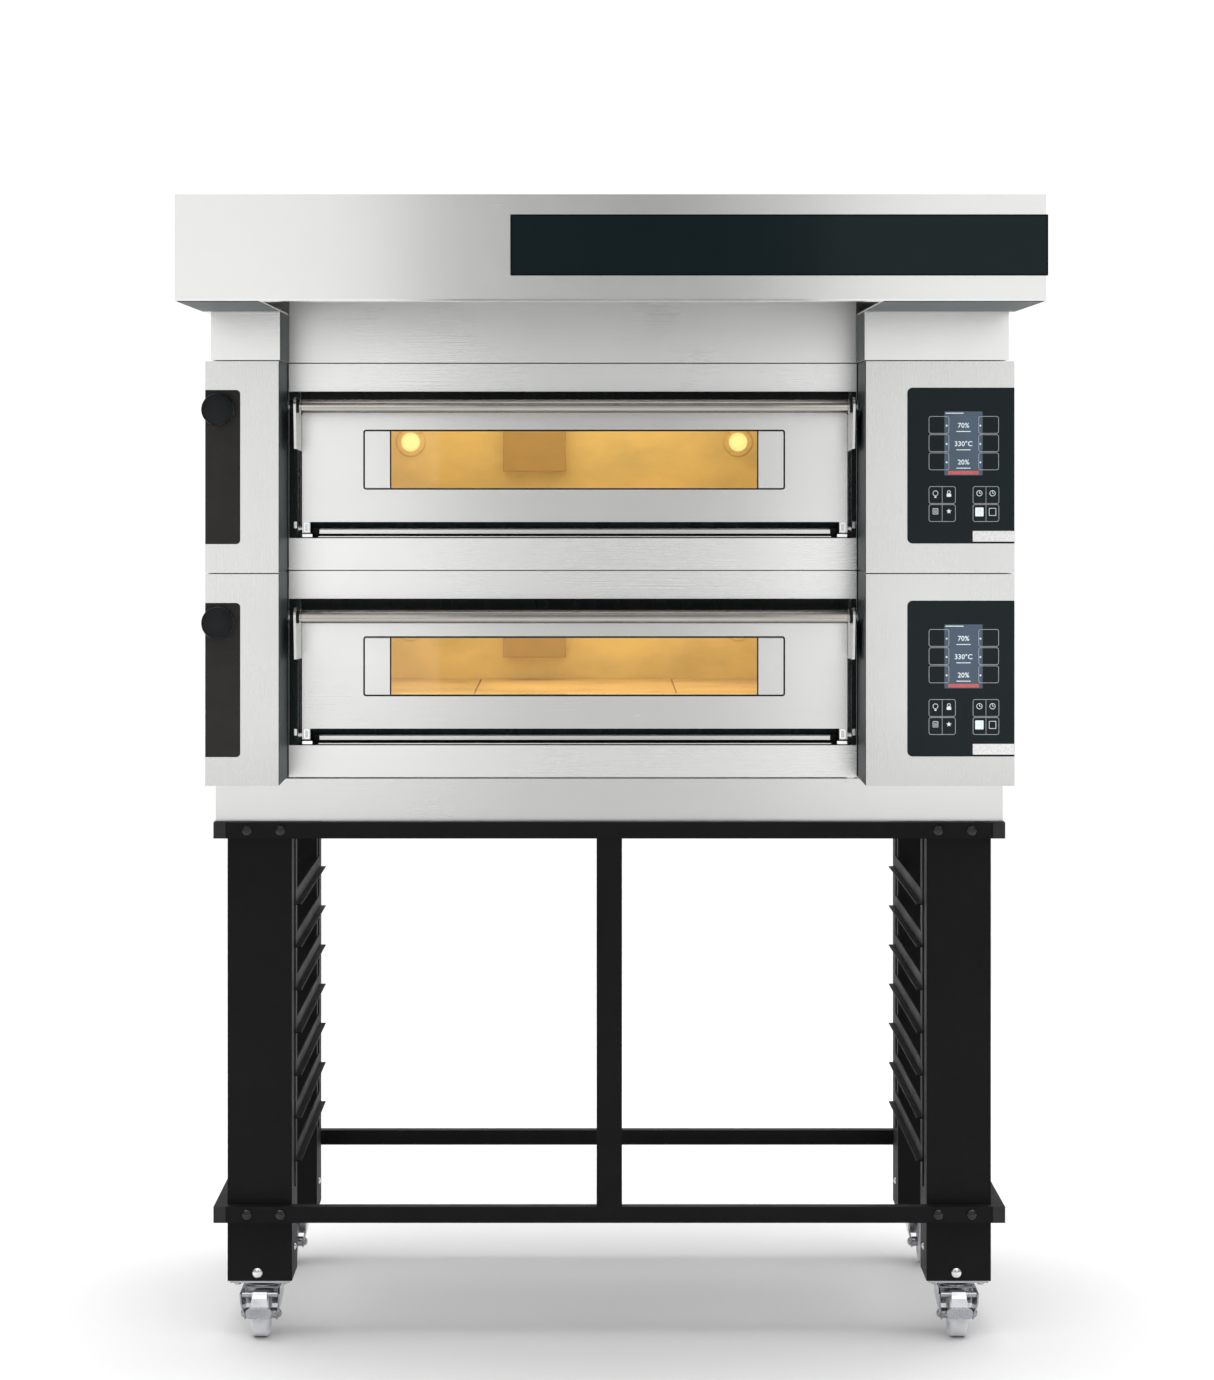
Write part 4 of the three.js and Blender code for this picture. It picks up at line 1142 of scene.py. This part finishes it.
def brake_pedal(side):
    """Pressed pedal: curled ears at the pivot, a sloped web and a two-lobed ribbed tread."""
    node = f"brake_pedal_{side}"
    low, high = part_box(node)
    wheel_low, wheel_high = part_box(f"castor_wheel_front_{side}")
    swivel_y = (wheel_low.y + wheel_high.y) / 2 + CASTOR_TRAIL
    middle = (low.x + high.x) / 2
    pivot = Vector((middle, swivel_y - 52 * MM, 78 * MM))
    body = f"brake_{side}"
    web_line = ((4, 4), (-5, 5), (-11, -3), (-19, -16), (-23, -26))
    sheet = 2.2
    web = Shape()
    half_widths = (12.5, 12.5, 13, 16, 19)
    loops = []
    for (y, z), half in zip(web_line, half_widths):
        loops.append([
            pivot + Vector((side_sign * half, y - back * sheet * 0.6, z - back * sheet * 0.8)) * MM
            for side_sign, back in ((-1, 0), (1, 0), (1, 1), (-1, 1))
        ])
    web.loft(loops)
    web.turned([(4.9 * MM, -31 * MM), (4.9 * MM, 31 * MM)], pivot, (1, 0, 0), 32)
    pedal = web.piece(f"pedal_web_{side}", "zinc", body, "zinc", bevel=0.5 * MM)
    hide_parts(node)
    tread = Shape()
    face_y = pivot.y - 26 * MM
    for lobe in (-1, 1):
        x = sorted((middle, middle + lobe * 22.5 * MM))
        tread.plate(rounded(x, (41 * MM, 60 * MM), 8 * MM), face_y, face_y + 3.5 * MM)
    tread.card(span(middle, 12 * MM), (44 * MM, 60 * MM), 2 * MM, face_y + 0.3 * MM, face_y + 3.2 * MM)
    for rib in range(-3, 4):
        ridge_x = span(middle + rib * 4.6 * MM, 0.9 * MM)
        tread.card(ridge_x, (46 * MM, 56 * MM), 0.8 * MM, face_y - 0.8 * MM, face_y + 0.3 * MM)
    tread.piece(f"pedal_tread_{side}", "zinc", body, "zinc", bevel=0.5 * MM)


def castor_fittings(place):
    """Race ring under the plate and the plate's four bolts."""
    plate_low, plate_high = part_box(f"castor_plate_{place}")
    centre = (plate_low + plate_high) / 2
    rings = Shape()
    underside = plate_high.z - 4 * MM
    rings.turned(
        [(24.3 * MM, 0.2 * MM), (29 * MM, 0.2 * MM), (30.5 * MM, 1.4 * MM),
         (30.5 * MM, 4.4 * MM), (24.3 * MM, 5.4 * MM)],
        (centre.x, centre.y, underside), (0, 0, -1), 48)
    for corner_x in (-1, 1):
        for corner_y in (-1, 1):
            spot = (centre.x + corner_x * 40 * MM, centre.y + corner_y * 40 * MM, underside - 0.1 * MM)
            rings.turned([(6.5 * MM, 0), (6.5 * MM, 3.5 * MM), (5 * MM, 4.5 * MM)], spot, (0, 0, -1), 6)
    rings.piece(f"castor_race_{place}", "zinc", "oven", "zinc", bevel=0.3 * MM)


# ------------------------------------------------------------------ stage


def floor():
    """A matt white studio floor with painted shade: greyer far off and out in front of the oven."""
    data = bpy.data.meshes.new("floor")
    reach = 60.0
    corners = [(-reach, -reach, 0), (reach, -reach, 0), (reach, reach, 0), (-reach, reach, 0)]
    data.from_pydata(corners, [], [(0, 1, 2, 3)])
    made = bpy.data.objects.new("floor", data)
    bpy.context.scene.collection.objects.link(made)
    material, tree, shader = new_material("studio_floor", (0.8, 0.8, 0.8), 0.0, 0.75, Specular_IOR_Level=0.2)
    tree.links.new(remap(tree, noise(tree, (9.0, 9.0, 9.0), 3.0), 0.7, 0.8), shader.inputs["Roughness"])
    coordinates = tree.nodes.new("ShaderNodeTexCoord")
    split = tree.nodes.new("ShaderNodeSeparateXYZ")
    tree.links.new(coordinates.outputs["Object"], split.inputs["Vector"])
    distance = tree.nodes.new("ShaderNodeVectorMath")
    distance.operation = "LENGTH"
    tree.links.new(coordinates.outputs["Object"], distance.inputs[0])
    # painted shade in front of the oven and far off
    painted_shade_in_front = remap(tree, split.outputs["Y"], 0.53, 0.80, -3.2, -0.9)
    painted_shade_far_off = remap(tree, distance.outputs["Value"], 1.0, 0.8, 2.0, 4.5)
    tone = add_values(tree, painted_shade_in_front, painted_shade_far_off, "MULTIPLY")
    tree.links.new(ramp(tree, tone, (0.0, (0.0,) * 3), (1.0, (1.0,) * 3)), shader.inputs["Base Color"])
    data.materials.append(material)


def studio():
    """A white room: bright above and behind the oven, dimmer in front of it, with a card either side."""
    world = bpy.data.worlds.new("studio")
    bpy.context.scene.world = world
    world.use_nodes = True
    tree = world.node_tree
    background = tree.nodes["Background"]
    background.inputs["Color"].default_value = (1.0, 1.0, 1.0, 1.0)
    coordinates = tree.nodes.new("ShaderNodeTexCoord")
    split = tree.nodes.new("ShaderNodeSeparateXYZ")
    tree.links.new(coordinates.outputs["Generated"], split.inputs["Vector"])
    dim = 0.37
    backdrop = remap(tree, split.outputs["Y"], dim, 1.1, 0.45, 0.93)
    ceiling = remap(tree, split.outputs["Z"], dim, 4.4, 0.68, 1.0)
    tree.links.new(add_values(tree, backdrop, ceiling, "MAXIMUM"), background.inputs["Strength"])
    for name, place, aim, size, power in (
        ("left_card", (-1.05, -2.6, 1.75), (-0.9, 0.0, 1.7), (1.3, 2.1), 5.7),
        ("right_card", (1.10, -2.6, 1.75), (1.0, 0.0, 1.7), (1.3, 2.1), 5.6),
    ):
        soft_box(name, place, aim, size, power, (1.0, 1.0, 1.0))


def soft_box(name, place, aim, size, power, color):
    light = bpy.data.lights.new(name, "AREA")
    light.shape = "RECTANGLE"
    light.size, light.size_y = size
    light.energy = power
    light.color = color
    made = bpy.data.objects.new(name, light)
    made.location = place
    made.rotation_euler = (Vector(aim) - Vector(place)).to_track_quat("-Z", "Y").to_euler()
    made.visible_camera = False
    bpy.context.scene.collection.objects.link(made)


def chamber_light(deck):
    """Warm light from the roof of a chamber, for its two lamps."""
    low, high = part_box(f"{deck}_chamber_liner")
    middle = (low + high) / 2
    amber = (1.0, 0.92, 0.62)
    soft_box(f"{deck}_chamber_light", (middle.x, middle.y, high.z - 6 * MM), (middle.x, middle.y, low.z),
             (0.8, 0.6), 1.6, amber)


def camera():
    """Level, at head height, six metres in front of the casings."""
    data = bpy.data.cameras.new("camera")
    data.lens = 92.6
    data.sensor_width = 36.0
    data.shift_x = 0.0138
    data.shift_y = -0.1667
    data.clip_end = 200.0
    made = bpy.data.objects.new("camera", data)
    made.location = (-0.037, -6.31, 1.53)
    made.rotation_euler = (math.pi / 2, 0.0, 0.0)
    bpy.context.scene.collection.objects.link(made)
    bpy.context.scene.camera = made


# ------------------------------------------------------------------ assembly

bpy.context.scene.view_settings.view_transform = "Standard"
camera()
floor()
studio()
dress_cad_nodes()
hood_plate()
hood_trim()
middle_panel()
side_shade_sheets()
stand_fittings()
for row in ("front", "rear"):
    for side in ("left", "right"):
        castor_wheel(f"{row}_{side}")
        castor_fork(f"{row}_{side}")
        castor_fittings(f"{row}_{side}")
brake_pedal("left")
brake_pedal("right")
for deck in DECKS:
    handle(deck)
    window_trim(deck)
    recess_shade_sheets(deck)
    door_foot(deck)
    hinge_brackets(deck)
    chamber(deck)
    chamber_light(deck)
    control_glass(deck)
    damper_knob(deck)
    rear_fittings(deck)
    casing_screws(deck)
